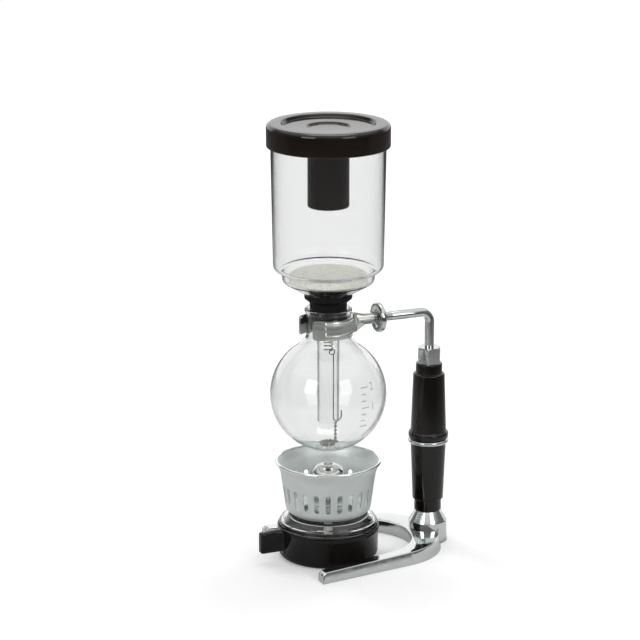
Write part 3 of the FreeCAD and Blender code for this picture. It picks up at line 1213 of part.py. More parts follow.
PIECES = {
    "base_frame": base_frame,
    "arm_rod": arm_rod,
    "hex_nut": hex_nut,
    "grip_lower": grip_lower,
    "grip_ring": grip_ring,
    "grip_upper": grip_upper,
    "clamp_rear": lambda: clamp_jaw(1, TONGUE_TIP_X, REAR_END_REACH),
    "clamp_front": lambda: clamp_jaw(-1, TONGUE_TIP_X - MOVING_CLEARANCE, FRONT_END_REACH),
    "clamp_nut": clamp_nut,
    "clamp_nut_hub": clamp_nut_hub,
    "lower_bulb": lower_bulb,
    "funnel_glass": funnel_glass,
    "funnel_stem": funnel_stem,
    "gasket": gasket,
    "filter_cloth": filter_cloth,
    "filter_disc": filter_disc,
    "filter_stud": filter_stud,
    "filter_spring": filter_spring,
    "pull_hook": pull_hook,
    "bead_chain": bead_chain,
    "lid": lid,
    "burner_holder": burner_holder,
    "lamp_reservoir": lamp_reservoir,
    "lamp_collar": lamp_collar,
    "wick_tube": wick_tube,
    "wick": wick,
    "windshield": windshield,
    "snuffer_cap": snuffer_cap,
}


def main():
    os.makedirs("parts", exist_ok=True)
    whole = FreeCAD.BoundBox()
    for name, make in PIECES.items():
        shape = make()
        whole.add(shape.BoundBox)
        print(f"{name}: {len(shape.Solids)} solid, {shape.Volume:.0f} mm3, valid {shape.isValid()}")
        shape.exportStep(f"parts/{name}.step")
    print(f"overall {whole.XLength:.1f} x {whole.YLength:.1f} x {whole.ZLength:.1f} mm")
    print(f"spring: {SPRING_TURNS} turns, least gap to itself {spring_gap():.2f} mm")


main()
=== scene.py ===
# %% [markdown]
# # A siphon coffee maker in Blender
#
# A glass bulb hangs in a chromed stand, a glass funnel with a cloth filter sits on top of it, and a spirit
# burner stands below. The construction comes from CAD and is loaded as a fixed frame in metres. This lesson
# gives every piece its surface: clean turned meshes for glass and plating, node trees for what repeats, and
# procedural finishes. Nothing is read from disk apart from the frame.

# %% Load the frame
import json
import math

import bmesh
import bpy
from mathutils import Matrix, Vector

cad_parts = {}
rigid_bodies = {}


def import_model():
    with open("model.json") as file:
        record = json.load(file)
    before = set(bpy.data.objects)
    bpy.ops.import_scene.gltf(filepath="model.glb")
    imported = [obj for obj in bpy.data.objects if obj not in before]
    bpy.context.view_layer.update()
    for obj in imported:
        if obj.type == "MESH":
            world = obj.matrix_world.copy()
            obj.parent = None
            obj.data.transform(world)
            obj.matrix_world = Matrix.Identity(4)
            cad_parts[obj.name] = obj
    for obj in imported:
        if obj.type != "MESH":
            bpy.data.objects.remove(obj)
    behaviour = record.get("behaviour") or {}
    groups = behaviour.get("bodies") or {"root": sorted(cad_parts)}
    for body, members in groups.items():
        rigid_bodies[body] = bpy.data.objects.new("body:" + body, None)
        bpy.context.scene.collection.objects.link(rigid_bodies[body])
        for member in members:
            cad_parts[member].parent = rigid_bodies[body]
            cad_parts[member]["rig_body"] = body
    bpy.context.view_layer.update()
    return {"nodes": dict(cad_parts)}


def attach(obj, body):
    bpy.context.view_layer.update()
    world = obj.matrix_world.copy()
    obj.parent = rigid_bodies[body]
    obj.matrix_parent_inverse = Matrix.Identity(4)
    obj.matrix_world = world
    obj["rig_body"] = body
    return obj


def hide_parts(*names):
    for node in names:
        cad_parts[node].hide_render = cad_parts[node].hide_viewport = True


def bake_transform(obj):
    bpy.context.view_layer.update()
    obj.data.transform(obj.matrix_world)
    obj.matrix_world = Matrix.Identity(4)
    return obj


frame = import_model()
scene = bpy.context.scene
MM = 0.001

# %% [markdown]
# ## Camera
#
# The photograph was taken from a little above and to the left, with a long lens, so upright lines stay
# almost parallel. A camera can be aimed by hand, by a constraint or by a matrix. A matrix built from the
# viewing direction is exact and leaves nothing to evaluate later.

# %% Camera
PHOTO_WIDTH = 640
FOCAL_PIXELS = 2789.0
PIXELS_OFF_CENTRE = 8.6
camera_place = Vector((-0.804, -1.806, 0.725))
pitch_down = math.radians(15.355)
turn_left = math.atan(PIXELS_OFF_CENTRE / FOCAL_PIXELS)
towards_axis = math.atan2(-camera_place.y, -camera_place.x)


def direction(bearing, height):
    """The direction at a bearing round the axis and a height over the level, both angles."""
    level = math.cos(height)
    return Vector((level * math.cos(bearing), level * math.sin(bearing), math.sin(height)))


def looking(place, way):
    """The placement of a camera or a lamp that looks along a direction."""
    return Matrix.Translation(place) @ way.to_track_quat("-Z", "Y").to_matrix().to_4x4()


camera_data = bpy.data.cameras.new("photo_camera")
camera_data.sensor_width = 36.0
camera_data.lens = FOCAL_PIXELS / PHOTO_WIDTH * camera_data.sensor_width
camera = bpy.data.objects.new("photo_camera", camera_data)
camera.matrix_world = looking(camera_place, direction(towards_axis + turn_left, -pitch_down))
scene.collection.objects.link(camera)
scene.camera = camera
print("lens %.1f mm" % camera_data.lens)

# %% [markdown]
# ## Light and background
#
# Clear glass and chrome have no colour of their own: they show the room. In an all white room they vanish,
# and in a dark one they look black. A product studio mixes both: a white sweep under the object, a pale
# board behind it, grey all round beyond, a white ceiling and a few soft boxes. Here the world and the floor
# ask each ray how it came. A ray straight from the camera, or bent through glass, sees white. A ray that
# was mirrored on its way sees the grey studio, so edges and curves get their darker lines from every side.
# If it went through glass as well, a share of white is mixed in, so that the glass stays clear.

# %% Node helpers
NODE_STEP = Vector((220, -160))


def bare_tree(holder):
    """The emptied node tree of a world or a material."""
    holder.use_nodes = True
    holder.node_tree.nodes.clear()
    return holder.node_tree


def join(tree, source, target):
    """Link an output socket to an input socket further right, or set the input to a plain value."""
    if isinstance(source, bpy.types.NodeSocket):
        tree.links.new(source, target)
        target.node.location.x = max(target.node.location.x, source.node.location.x + NODE_STEP.x)
    else:
        target.default_value = source


def add_node(tree, kind, *sources, **values):
    """Add a node in a row of its own; inputs are set or linked in order or by name."""
    made = tree.nodes.new(kind)
    made.location.y = NODE_STEP.y * len(tree.nodes)
    for name, value in values.items():
        if hasattr(made, name):
            setattr(made, name, value)
        else:
            join(tree, value, made.inputs[name.replace("_", " ")])
    for source, target in zip(sources, made.inputs):
        join(tree, source, target)
    return made


def calculated(tree, operation, first, second):
    """One arithmetic step on sockets or numbers."""
    return add_node(tree, "ShaderNodeMath", first, second, operation=operation).outputs[0]


def blended(tree, source, low, high, source_range=(0.0, 1.0), smooth=False):
    """Go from low to high, numbers or sockets, while the source goes through its range."""
    step = add_node(
        tree, "ShaderNodeMapRange", interpolation_type="SMOOTHSTEP" if smooth else "LINEAR",
        From_Min=source_range[0], From_Max=source_range[1], To_Min=low, To_Max=high, Value=source)
    return step.outputs[0]


def along(tree, source, heading):
    """How far a place or a direction reaches along a level heading, which is an angle."""
    way = direction(heading, 0.0)
    return add_node(tree, "ShaderNodeVectorMath", source, way, operation="DOT_PRODUCT").outputs["Value"]


ANY_BOUNCE = 0.5
GLASS_SHARE = 0.8


def ray_story(tree):
    """How a ray came: whether it shows a surface to the eye, and how far it was mirrored on its way."""
    ray = add_node(tree, "ShaderNodeLightPath").outputs
    bent = calculated(tree, "MAXIMUM", ray["Is Glossy Ray"], ray["Is Transmission Ray"])
    seen = calculated(tree, "MAXIMUM", ray["Is Camera Ray"], bent)
    mirrored = calculated(tree, "GREATER_THAN", ray["Glossy Depth"], ANY_BOUNCE)
    in_glass = calculated(tree, "GREATER_THAN", ray["Transmission Depth"], ANY_BOUNCE)
    share = blended(tree, in_glass, 1.0, GLASS_SHARE)
    return seen, calculated(tree, "MULTIPLY", mirrored, share)


print("node helpers ready")

# %% World
ROOM_LIGHT = 0.42
STUDIO_GREY = 0.18
CEILING_WHITE = 1.0
CEILING_RISE = (0.4, 0.75)
BOARD_WHITE = 1.2
BOARD_SIDES = (0.45, 0.75)
BOARD_TOP = (0.42, 0.6)

world = bpy.data.worlds.new("studio_room")
scene.world = world
room = bare_tree(world)
way_out = add_node(room, "ShaderNodeTexCoord").outputs["Generated"]
skyward = add_node(room, "ShaderNodeSeparateXYZ", way_out).outputs["Z"]
ceiling = blended(room, skyward, STUDIO_GREY, CEILING_WHITE, CEILING_RISE, smooth=True)
rearward = along(room, way_out, towards_axis)
behind = blended(room, rearward, 0.0, BOARD_WHITE, BOARD_SIDES, smooth=True)
board = blended(room, skyward, behind, 0.0, BOARD_TOP, smooth=True)
studio = calculated(room, "MAXIMUM", ceiling, board)
room_seen, room_mirrored = ray_story(room)
shown = blended(room, room_mirrored, 1.0, studio)
strength = blended(room, room_seen, ROOM_LIGHT, shown)
room_light = add_node(room, "ShaderNodeBackground", Color=(1, 1, 1, 1), Strength=strength)
add_node(room, "ShaderNodeOutputWorld", room_light.outputs[0])
scene.view_settings.view_transform = "Standard"
print("room light", ROOM_LIGHT)

# %% [markdown]
# Small lamps make hard sparks on glass and chrome, so these are broad boxes: two in front, one above, and
# two behind that brighten the far sides and that no surface mirrors.

# %% Lamps
camera_bearing = math.atan2(camera_place.y, camera_place.x)
LAMP_AIM = Vector((0.02, 0.0, 0.15))
LAMP_DISTANCE = 1.4


def soft_lamp(name, turn, rise, size, power, mirrored=True):
    """A soft box at a bearing from the camera's side and a height, both in degrees, aimed at the object."""
    data = bpy.data.lights.new(name, "AREA")
    data.shape = "RECTANGLE"
    data.size, data.size_y = size
    data.energy = power
    away = direction(camera_bearing + math.radians(turn), math.radians(rise))
    lamp = bpy.data.objects.new(name, data)
    lamp.matrix_world = looking(LAMP_AIM + away * LAMP_DISTANCE, -away)
    lamp.visible_glossy = mirrored
    lamp.visible_transmission = mirrored
    scene.collection.objects.link(lamp)
    print(name, "%.1f W" % power)


soft_lamp("left_box", -38, 24, (0.60, 0.66), 4.1)
soft_lamp("right_box", 38, 24, (0.56, 0.66), 3.2)
soft_lamp("rear_left_box", -140, 35, (0.24, 0.5), 2.9, mirrored=False)
soft_lamp("rear_right_box", 140, 35, (0.24, 0.5), 2.9, mirrored=False)
soft_lamp("top_box", 180, 78, (0.8, 0.6), 5.8)

# %% [markdown]
# The floor is one wide plane. For the eye it glows a little, which keeps it white to the edge of the
# picture, and it still takes the object's shadow. Away from the object a mirror shows it grey, and darker
# in front, as a studio's floor is beyond the sweep.

# %% Floor
FLOOR_REACH = 6.0

floor_mesh = bpy.data.meshes.new("floor")
floor_mesh.from_pydata(
    [(-FLOOR_REACH, -FLOOR_REACH, 0), (FLOOR_REACH, -FLOOR_REACH, 0),
     (FLOOR_REACH, FLOOR_REACH, 0), (-FLOOR_REACH, FLOOR_REACH, 0)],
    [], [(0, 1, 2, 3)])
floor = bpy.data.objects.new("floor", floor_mesh)
scene.collection.objects.link(floor)
print("floor", 2 * FLOOR_REACH, "m across")

# %% Floor paint
SWEEP_EDGE = (0.28, 0.7)
FLOOR_WHITE = 0.88
FLOOR_MIRRORED = 0.74
FLOOR_GREY = 0.24
FLOOR_DARK = 0.10
DARK_FRONT = (0.12, 0.45)
LIFT_BY_DISTANCE = (0.35, 1.6)
LIFT_NEAR = 0.24
LIFT_FAR = 0.62

floor_paint = bpy.data.materials.new("pale_floor")
sweep = bare_tree(floor_paint)
floor_spot = add_node(sweep, "ShaderNodeTexCoord").outputs["Object"]
reach = add_node(sweep, "ShaderNodeVectorMath", floor_spot, operation="LENGTH")
distance = reach.outputs["Value"]
frontward = along(sweep, floor_spot, camera_bearing)
floor_seen, floor_mirrored = ray_story(sweep)
far_paint = blended(sweep, frontward, FLOOR_GREY, FLOOR_DARK, DARK_FRONT, smooth=True)
mirror_paint = blended(sweep, distance, FLOOR_MIRRORED, far_paint, SWEEP_EDGE, smooth=True)
paint_value = blended(sweep, floor_mirrored, FLOOR_WHITE, mirror_paint)
near_lift = blended(sweep, distance, LIFT_NEAR, LIFT_FAR, LIFT_BY_DISTANCE, smooth=True)
lift = blended(sweep, floor_mirrored, near_lift, 0.0)
shown_lift = calculated(sweep, "MULTIPLY", lift, floor_seen)
floor_matte = add_node(sweep, "ShaderNodeBsdfDiffuse", Color=paint_value)
floor_glow = add_node(sweep, "ShaderNodeEmission", Strength=shown_lift)
floor_sum = add_node(sweep, "ShaderNodeAddShader", floor_matte.outputs[0], floor_glow.outputs[0])
add_node(sweep, "ShaderNodeOutputMaterial", floor_sum.outputs[0])
floor_mesh.materials.append(floor_paint)
print("floor white", FLOOR_WHITE)

# %% [markdown]
# ## Finishes
#
# Each finish is a Principled shader with its own small surface story: waves in blown glass, faint polishing
# marks in chrome, orange peel on moulded plastic, spinning rings on the aluminium shield. The patterns read
# Object coordinates, which are metres here, so a scale of 1000 means one wave per millimetre. Numbers that
# are the same all over are set on the shader itself.

# %% Finish helpers
NOISE_RANGE = (0.3, 0.7)
FINISH_END = 2200


def start_finish(name, **values):
    """A new material with a Principled shader, whose plain inputs are given by name, and its tree."""
    finish = bpy.data.materials.new(name)
    tree = bare_tree(finish)
    shader = add_node(tree, "ShaderNodeBsdfPrincipled", **values)
    out = add_node(tree, "ShaderNodeOutputMaterial", shader.outputs[0])
    out.location.x = FINISH_END
    return finish, tree, shader, out


def object_noise(tree, scale, detail, stretch=(1, 1, 1)):
    """Noise on Object coordinates, stretched along the axes."""
    spot = add_node(tree, "ShaderNodeTexCoord").outputs["Object"]
    mapped = add_node(tree, "ShaderNodeMapping", Vector=spot, Scale=stretch).outputs[0]
    noise = add_node(tree, "ShaderNodeTexNoise", Vector=mapped, Scale=scale, Detail=detail)
    return noise.outputs["Fac"]


def tinted(tree, source, shader, dark, light):
    """Give the shader a colour that goes from dark to light with a pattern."""
    ramp = add_node(tree, "ShaderNodeValToRGB", Fac=source)
    for element, position, colour in zip(ramp.color_ramp.elements, NOISE_RANGE, (dark, light)):
        element.position = position
        element.color = (*colour, 1)
    join(tree, ramp.outputs["Color"], shader.inputs["Base Color"])


def polished(tree, source, shader, low, high):
    """Give the shader a roughness that goes from low to high with a pattern."""
    join(tree, blended(tree, source, low, high, NOISE_RANGE), shader.inputs["Roughness"])


def bumped(tree, source, shader, depth, strength):
    """Turn a pattern into small relief; depth is in metres."""
    bump = add_node(tree, "ShaderNodeBump", Strength=strength, Distance=depth, Height=source)
    join(tree, bump.outputs[0], shader.inputs["Normal"])


def shades(colour, low, high):
    """A darker and a lighter shade of one colour."""
    return [c * low for c in colour], [c * high for c in colour]


print("finish helpers ready")

# %% [markdown]
# Heat-proof glass is clear with a hardly visible grey-green. A glass shader bends light at both faces of a
# wall. Lamps cannot shine through such a wall by themselves, so shadow rays meet a nearly clear film.

# %% Glass
GLASS_IOR = 1.47
FILM_TINT = (0.93, 0.94, 0.94, 1)
WAVE_STRENGTH = 0.35


def clear_glass(name, wave_scale, wave_depth, tint):
    """Clear glass with slow waves in its wall; lamps shine through it to what lies behind."""
    finish, tree, shader, out = start_finish(
        name, Base_Color=(*tint, 1), Roughness=0.0, IOR=GLASS_IOR, Transmission_Weight=1.0)
    bumped(tree, object_noise(tree, wave_scale, 1.0), shader, wave_depth, WAVE_STRENGTH)
    film = add_node(tree, "ShaderNodeBsdfTransparent", Color=FILM_TINT)
    lamp_ray = add_node(tree, "ShaderNodeLightPath").outputs["Is Shadow Ray"]
    choice = add_node(tree, "ShaderNodeMixShader", lamp_ray, shader.outputs[0], film.outputs[0])
    join(tree, choice.outputs[0], out.inputs["Surface"])
    return finish


bulb_glass = clear_glass("blown_bulb_glass", 26.0, 0.0003, (0.875, 0.883, 0.88))
funnel_glass = clear_glass("drawn_funnel_glass", 22.0, 0.0004, (0.888, 0.894, 0.891))
# Painted light: the stem is the same drawn glass as the funnel. It gets a nearly clear copy so that it
# looks lighter through the bulb.
stem_glass_painted_light = clear_glass("drawn_stem_glass", 22.0, 0.0004, (0.995, 1.0, 0.998))
jar_glass = clear_glass("pressed_jar_glass", 60.0, 0.0005, (0.97, 0.98, 0.975))
print("four glasses, refraction", GLASS_IOR)

# %% [markdown]
# Plating is a mirror with faint waves from the polishing wheel. Spun aluminium keeps the rings of the
# forming tool, and pressed steel keeps the grain of the sheet. One noise, stretched one way or another,
# gives all three.

# %% Metals
WHEEL_WAVES = 90.0
GRAIN_DEPTH = 0.00002
POLISH_SPREAD = 0.06
ROUND_THE_AXIS = (0.03, 0.03, 1.0)
UP_AND_DOWN = (1.0, 1.0, 0.05)


def plated(name, colour, smooth, dull, patch_scale=240.0, depth=GRAIN_DEPTH):
    """Bright plating whose polish varies a little, with hardly visible waves."""
    finish, tree, shader, _ = start_finish(name, Metallic=1.0)
    patches = object_noise(tree, patch_scale, 4.0)
    tinted(tree, patches, shader, *shades(colour, 0.96, 1.0))
    polished(tree, patches, shader, smooth, dull)
    bumped(tree, object_noise(tree, WHEEL_WAVES, 2.0), shader, depth, 0.5)
    return finish


def grained(name, colour, roughness, grain_scale, stretch, patch_scale=90.0):
    """Satin metal with a fine grain along one way, and broad cloudy patches."""
    finish, tree, shader, _ = start_finish(name, Metallic=1.0)
    grain = object_noise(tree, grain_scale, 2.0, stretch)
    patches = object_noise(tree, patch_scale, 3.0)
    tinted(tree, patches, shader, *shades(colour, 0.92, 1.0))
    polished(tree, grain, shader, roughness - POLISH_SPREAD, roughness + POLISH_SPREAD)
    bumped(tree, grain, shader, GRAIN_DEPTH, 0.35)
    return finish


bright_chrome = plated("bright_chrome", (0.605, 0.63, 0.62), 0.03, 0.09)
cast_chrome = plated("cast_foot_chrome", (0.685, 0.71, 0.70), 0.05, 0.13, 160.0, 0.00004)
lamp_plating = plated("lamp_plating", (0.62, 0.64, 0.62), 0.06, 0.14)
bead_plating = plated("bead_plating", (0.42, 0.41, 0.39), 0.05, 0.12, 900.0)
rim_polish = plated("rolled_rim_polish", (0.87, 0.895, 0.89), 0.12, 0.20)
shield_satin = grained("spun_shield_aluminium", (0.775, 0.815, 0.80), 0.58, 1700.0, ROUND_THE_AXIS, 60.0)
# Painted light: the shield's inner faces get a lighter copy of the same spun aluminium. It stands in for
# the light that falls into the shield from above.
shield_inside_painted_light = grained("bright_shield_inside", (0.945, 0.98, 0.965), 0.5, 1700.0, ROUND_THE_AXIS, 60.0)
clamp_satin = grained("pressed_clamp_steel", (0.735, 0.76, 0.72), 0.30, 900.0, ROUND_THE_AXIS)
wire_steel = grained("drawn_wire_steel", (0.32, 0.32, 0.31), 0.16, 2600.0, UP_AND_DOWN)
print("nine metals")

# %% [markdown]
# Lid, grip and burner cup are polished dark plastic. The colour is nearly black, so what one sees is its
# gloss: a slight orange peel from the mould and duller patches where hands hold it. The stopper is matte
# rubber with a dusty bloom.

# %% Plastics and rubber
HANDLED_SCALE = 45.0
PEEL_SCALE = 420.0
PEEL_DEPTH = 0.00002


def moulded(name, colour, low, high, gloss):
    """Polished dark plastic with slight orange peel and a polish that is duller in patches."""
    finish, tree, shader, _ = start_finish(name, Specular_IOR_Level=gloss)
    handled = object_noise(tree, HANDLED_SCALE, 4.0)
    tinted(tree, handled, shader, *shades(colour, 0.85, 1.15))
    polished(tree, handled, shader, low, high)
    bumped(tree, object_noise(tree, PEEL_SCALE, 2.0), shader, PEEL_DEPTH, 0.3)
    return finish


lid_brown = moulded("lid_brown_black", (0.012, 0.008, 0.006), 0.06, 0.13, 0.5)
# Painted shade: the tube is the same plastic as the cover, given a darker colour and less gloss so it looks
# darker through the glass.
tube_painted_shade = moulded("lid_tube_brown", (0.008, 0.006, 0.005), 0.08, 0.16, 0.18)
grip_black = moulded("grip_black", (0.005, 0.004, 0.003), 0.04, 0.10, 0.4)
holder_black = moulded("holder_black", (0.004, 0.003, 0.0025), 0.04, 0.10, 0.28)

gasket_rubber, rubber_tree, rubber_shader, _ = start_finish("gasket_rubber", Specular_IOR_Level=0.2)
rubber_bloom = object_noise(rubber_tree, 300.0, 5.0)
tinted(rubber_tree, rubber_bloom, rubber_shader, (0.003, 0.003, 0.003), (0.007, 0.007, 0.0065))
polished(rubber_tree, rubber_bloom, rubber_shader, 0.38, 0.58)
bumped(rubber_tree, rubber_bloom, rubber_shader, 0.00005, 0.4)
print("four plastics and one rubber")

# %% [markdown]
# ## Turned pieces
#
# Most of this object was made on a lathe or in a round mould. A modelled cylinder with loop cuts would do,
# and so would a curve with a Screw modifier. Here an outline of corners, each with its own rounding, is
# turned in code, because the same outline list can be read against the construction, and a thick wall
# follows from an outline moved inwards. The quads stay even, so glass bends light without facets.

# %% Outline helpers
ARC_STEPS = 10


def rounded_line(corners, closed=False):
    """Points along (radius, z, rounding) corners, in millimetres, with a tangent arc at each corner."""
    points = [Vector((r, z)) for r, z, _ in corners]
    line = []
    for index, (_, _, rounding) in enumerate(corners):
        point = points[index]
        is_end = not closed and index in (0, len(points) - 1)
        if rounding <= 0 or is_end:
            line.append(point)
            continue
        back = (points[index - 1] - point).normalized()
        ahead = (points[(index + 1) % len(points)] - point).normalized()
        half = back.angle(ahead) / 2
        centre = point + (back + ahead).normalized() * (rounding / math.sin(half))
        start = point + back * (rounding / math.tan(half)) - centre
        arc = start.angle_signed(point + ahead * (rounding / math.tan(half)) - centre)
        for step in range(ARC_STEPS + 1):
            line.append(centre + Matrix.Rotation(-arc * step / ARC_STEPS, 2) @ start)
    return line


def moved_inwards(corners, wall):
    """The outline's corners moved to its left by a wall's thickness."""
    points = [Vector((r, z)) for r, z, _ in corners]
    lefts = [Vector((-(b - a).y, (b - a).x)).normalized() for a, b in zip(points, points[1:])]
    moved = []
    for index, (_, _, rounding) in enumerate(corners):
        before = lefts[max(index - 1, 0)]
        after = lefts[min(index, len(lefts) - 1)]
        point = points[index] + (before + after) * (wall / (1 + before.dot(after)))
        grown = rounding + (wall if before.x * after.y - before.y * after.x < 0 else -wall)
        moved.append((point.x, point.y, max(grown, 0) if rounding else 0))
    return moved


print("outline helpers ready, %d steps in an arc" % ARC_STEPS)

# %% Turning helpers
TURN_STEPS = 144
SHARP_ANGLE = 35.0
ROUND_ANGLE = 60.0
MERGE_GAP = 1e-7
POLE_RADIUS = 1e-4


def opened(mesh):
    """A mesh as a bmesh, with every face on the first finish."""
    build = bmesh.new()
    build.from_mesh(mesh)
    for face in build.faces:
        face.material_index = 0
    return build


def finish_mesh(name, build, finish, sharp_angle=SHARP_ANGLE):
    """Close a bmesh, point its faces outwards, shade it smooth and put it in the scene."""
    bmesh.ops.remove_doubles(build, verts=build.verts, dist=MERGE_GAP)
    bmesh.ops.recalc_face_normals(build, faces=build.faces)
    if build.calc_volume(signed=True) < 0:
        bmesh.ops.reverse_faces(build, faces=build.faces)
    mesh = bpy.data.meshes.new(name)
    build.to_mesh(mesh)
    build.free()
    mesh.shade_smooth()
    mesh.set_sharp_from_angle(angle=math.radians(sharp_angle))
    mesh.materials.append(finish)
    piece = bpy.data.objects.new(name, mesh)
    scene.collection.objects.link(piece)
    return piece


def upright(point, centre_x=0.0):
    """An outline point as it stands in the model, for a given angle round the axis."""
    radius, height = max(point[0], 0) * MM, point[1] * MM
    return lambda angle: (centre_x * MM + radius * math.cos(angle), radius * math.sin(angle), height)


def skinned(name, rings, finish, sharp_angle=SHARP_ANGLE, closed=True):
    """Close the skin between rings of points; a ring of one point is a pole."""
    build = bmesh.new()
    made = [[build.verts.new(point) for point in ring] for ring in rings]
    steps = max(len(ring) for ring in rings)
    for lower, upper in zip(made, made[1:] + made[:1] if closed else made[1:]):
        for step in range(steps):
            after = (step + 1) % steps
            corners = [lower[step % len(lower)], lower[after % len(lower)],
                       upper[after % len(upper)], upper[step % len(upper)]]
            face = list(dict.fromkeys(corners))
            if len(face) > 2:
                build.faces.new(face)
    if not closed:
        build.faces.new(made[0])
        build.faces.new(made[-1])
    return finish_mesh(name, build, finish, sharp_angle)


def turned(name, outline, finish, centre_x=0.0):
    """Turn a closed outline of (radius, z) points in millimetres round an upright axis."""
    angles = [math.tau * step / TURN_STEPS for step in range(TURN_STEPS)]
    rings = []
    for point in outline:
        place = upright(point, centre_x)
        rings.append([place(angle) for angle in (angles if point[0] > POLE_RADIUS else angles[:1])])
    return skinned(name, rings, finish)


print("turning helpers ready, %d steps round" % TURN_STEPS)


def painted_light_or_shade_on(piece, finish, chosen):
    """Give the faces that a test picks a lighter or darker copy of the piece's material: painted light or
    shade.
    """
    piece.data.materials.append(finish)
    for face in piece.data.polygons:
        face.material_index = int(chosen(face))


def goes_with(piece, body):
    """Let a piece move with a body."""
    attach(piece, body)
    print(piece.name, "on", body, len(piece.data.polygons), "faces")


def stands_for(piece, *nodes):
    """Let a piece take the place and the body of its CAD nodes."""
    goes_with(piece, frame["nodes"][nodes[0]]["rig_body"])
    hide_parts(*nodes)


def smooth_copy(node, finish, name, sharp_angle=30.0):
    """A merged copy of a CAD node, shaded smooth, for pieces that no lathe could make."""
    stands_for(finish_mesh(name, opened(frame["nodes"][node].data), finish, sharp_angle), node)


# %% [markdown]
# ## Glass
#
# The bulb is blown, the funnel is drawn and blown, and the spirit jar is pressed. Each is one closed wall
# with an inner and an outer face, because light has to bend at both. Blown glass is thinner in the belly
# than the construction's even wall, so the walls are a little thinner here, inside the same outside.

# %% Bulb
BULB_CENTRE_Z = 126.1
BULB_RADIUS = 43.1
BULB_WALL = 1.0
SHOULDER_RISE = 36.749
BALL_STEPS = 48
NECK_RADIUS = 16.3
NECK_BORE = 14.3
NECK_FOOT_Z = 170.1
LIP_RADIUS = 17.5
LIP_TOP_Z = 191.6


def ball_line(radius):
    """Points from the bottom of the ball up to the shoulder."""
    top = math.asin(SHOULDER_RISE / BULB_RADIUS)
    angles = [-math.pi / 2 + (top + math.pi / 2) * step / BALL_STEPS for step in range(BALL_STEPS + 1)]
    return [Vector((radius * math.cos(a), BULB_CENTRE_Z + radius * math.sin(a))) for a in angles]


outer_ball = ball_line(BULB_RADIUS)
inner_ball = ball_line(BULB_RADIUS - BULB_WALL)
neck = rounded_line([
    (*outer_ball[-1], 0),
    (NECK_RADIUS, NECK_FOOT_Z, 4.0),
    (NECK_RADIUS, 188.2, 1.0),
    (LIP_RADIUS, 189.2, 1.0),
    (LIP_RADIUS, LIP_TOP_Z, 1.0),
    (NECK_BORE, LIP_TOP_Z, 1.0),
    (NECK_BORE, NECK_FOOT_Z, 5.5),
    (*inner_ball[-1], 0),
])
bulb = turned("bulb", outer_ball[:-1] + neck + inner_ball[:-1][::-1], bulb_glass)
stands_for(bulb, "lower_bulb")

# %% Funnel
STEM_FOOT_Z = 105.0
STEM_TOP_Z = 197.3
STEM_RADIUS = 8.1
STEM_BORE = 6.7
CONE_RADIUS = 33.8
CONE_TOP_Z = 212.1
FUNNEL_WALL = 1.5
BOWL_TOP_Z = 327.4

funnel_outer = [
    (STEM_RADIUS, STEM_FOOT_Z, 0.5),
    (STEM_RADIUS, STEM_TOP_Z, 3.0),
    (CONE_RADIUS, CONE_TOP_Z, 4.5),
    (34.5, 219.8, 1.2),
    (40.5, 219.8, 5.0),
    (42.4, BOWL_TOP_Z, 0.8),
]
cone_slope = (CONE_TOP_Z - STEM_TOP_Z) / (CONE_RADIUS - STEM_RADIUS)
funnel_inner = moved_inwards(funnel_outer, FUNNEL_WALL)
cone_inner, cone_inner_z, _ = funnel_inner[2]
funnel_inner[0] = (STEM_BORE, STEM_FOOT_Z, 0.5)
funnel_inner[1] = (STEM_BORE, cone_inner_z - (cone_inner - STEM_BORE) * cone_slope, 3.0)
funnel_inner[-1] = (funnel_inner[-1][0], BOWL_TOP_Z, 0.8)
funnel = turned("funnel", rounded_line(funnel_outer + funnel_inner[::-1], closed=True), funnel_glass)
# The stem's faces take the clearer copy: painted light.
painted_light_or_shade_on(funnel, stem_glass_painted_light, lambda face: face.center.z < STEM_TOP_Z * MM)
stands_for(funnel, "funnel_glass", "funnel_stem")

# %% Spirit jar
jar_line = rounded_line([
    (0, 3.1, 0), (34.6, 3.1, 4.0), (34.6, 25.1, 0.4), (36.7, 25.1, 0.8), (36.9, 27.2, 0.9),
    (35.7, 28.0, 0.6), (35.5, 29.4, 0.8), (34.0, 30.2, 0.6), (31.2, 34.0, 3.0), (12.4, 34.0, 0.6),
    (12.4, 40.0, 0.4), (10.4, 40.0, 0.4), (10.4, 32.0, 2.6), (30.0, 32.0, 1.5), (34.6, 27.0, 1.0),
    (32.6, 25.0, 2.0), (32.6, 5.1, 2.0), (0, 5.1, 0),
])
stands_for(turned("spirit_jar", jar_line, jar_glass), "lamp_reservoir")

# %% [markdown]
# The bulb carries a small printed scale. A texture could draw it, but a thin film of paint as its own mesh
# stays crisp in every export. The strokes and plain numbers are laid out flat, given a thickness, and then
# wrapped round the ball: across becomes an angle and up becomes a height on the sphere.

# %% Printed scale
scale_paint, paint_tree, paint_shader, _ = start_finish("scale_paint")
paint_grain = object_noise(paint_tree, 2400.0, 3.0)
tinted(paint_tree, paint_grain, paint_shader, (0.50, 0.51, 0.52), (0.64, 0.65, 0.66))
polished(paint_tree, paint_grain, paint_shader, 0.45, 0.65)

PAINT_FILM = 0.08
SUNK_SHARE = 0.25
SCALE_BEARING = math.radians(-79)
SCALE_LOW_Z = 110.0
STROKES = 7
LONG_EVERY = 3
STROKE_GAP = 5.0
STROKE_HEIGHT = 0.8
LONG_STROKE = 7.0
SHORT_STROKE = 4.0
STROKE_CUTS = 6
NUMBER_SIZE = 8.0
NUMBER_LEFT = 8.5
NUMBER_DROP = 2.4
FLAT_MERGE_GAP = 0.001


def plain_mesh(maker):
    """What an object looks like after its modifiers, as a mesh; the object itself goes."""
    mesh = bpy.data.meshes.new_from_object(maker.evaluated_get(bpy.context.evaluated_depsgraph_get()))
    bpy.data.objects.remove(maker)
    return mesh


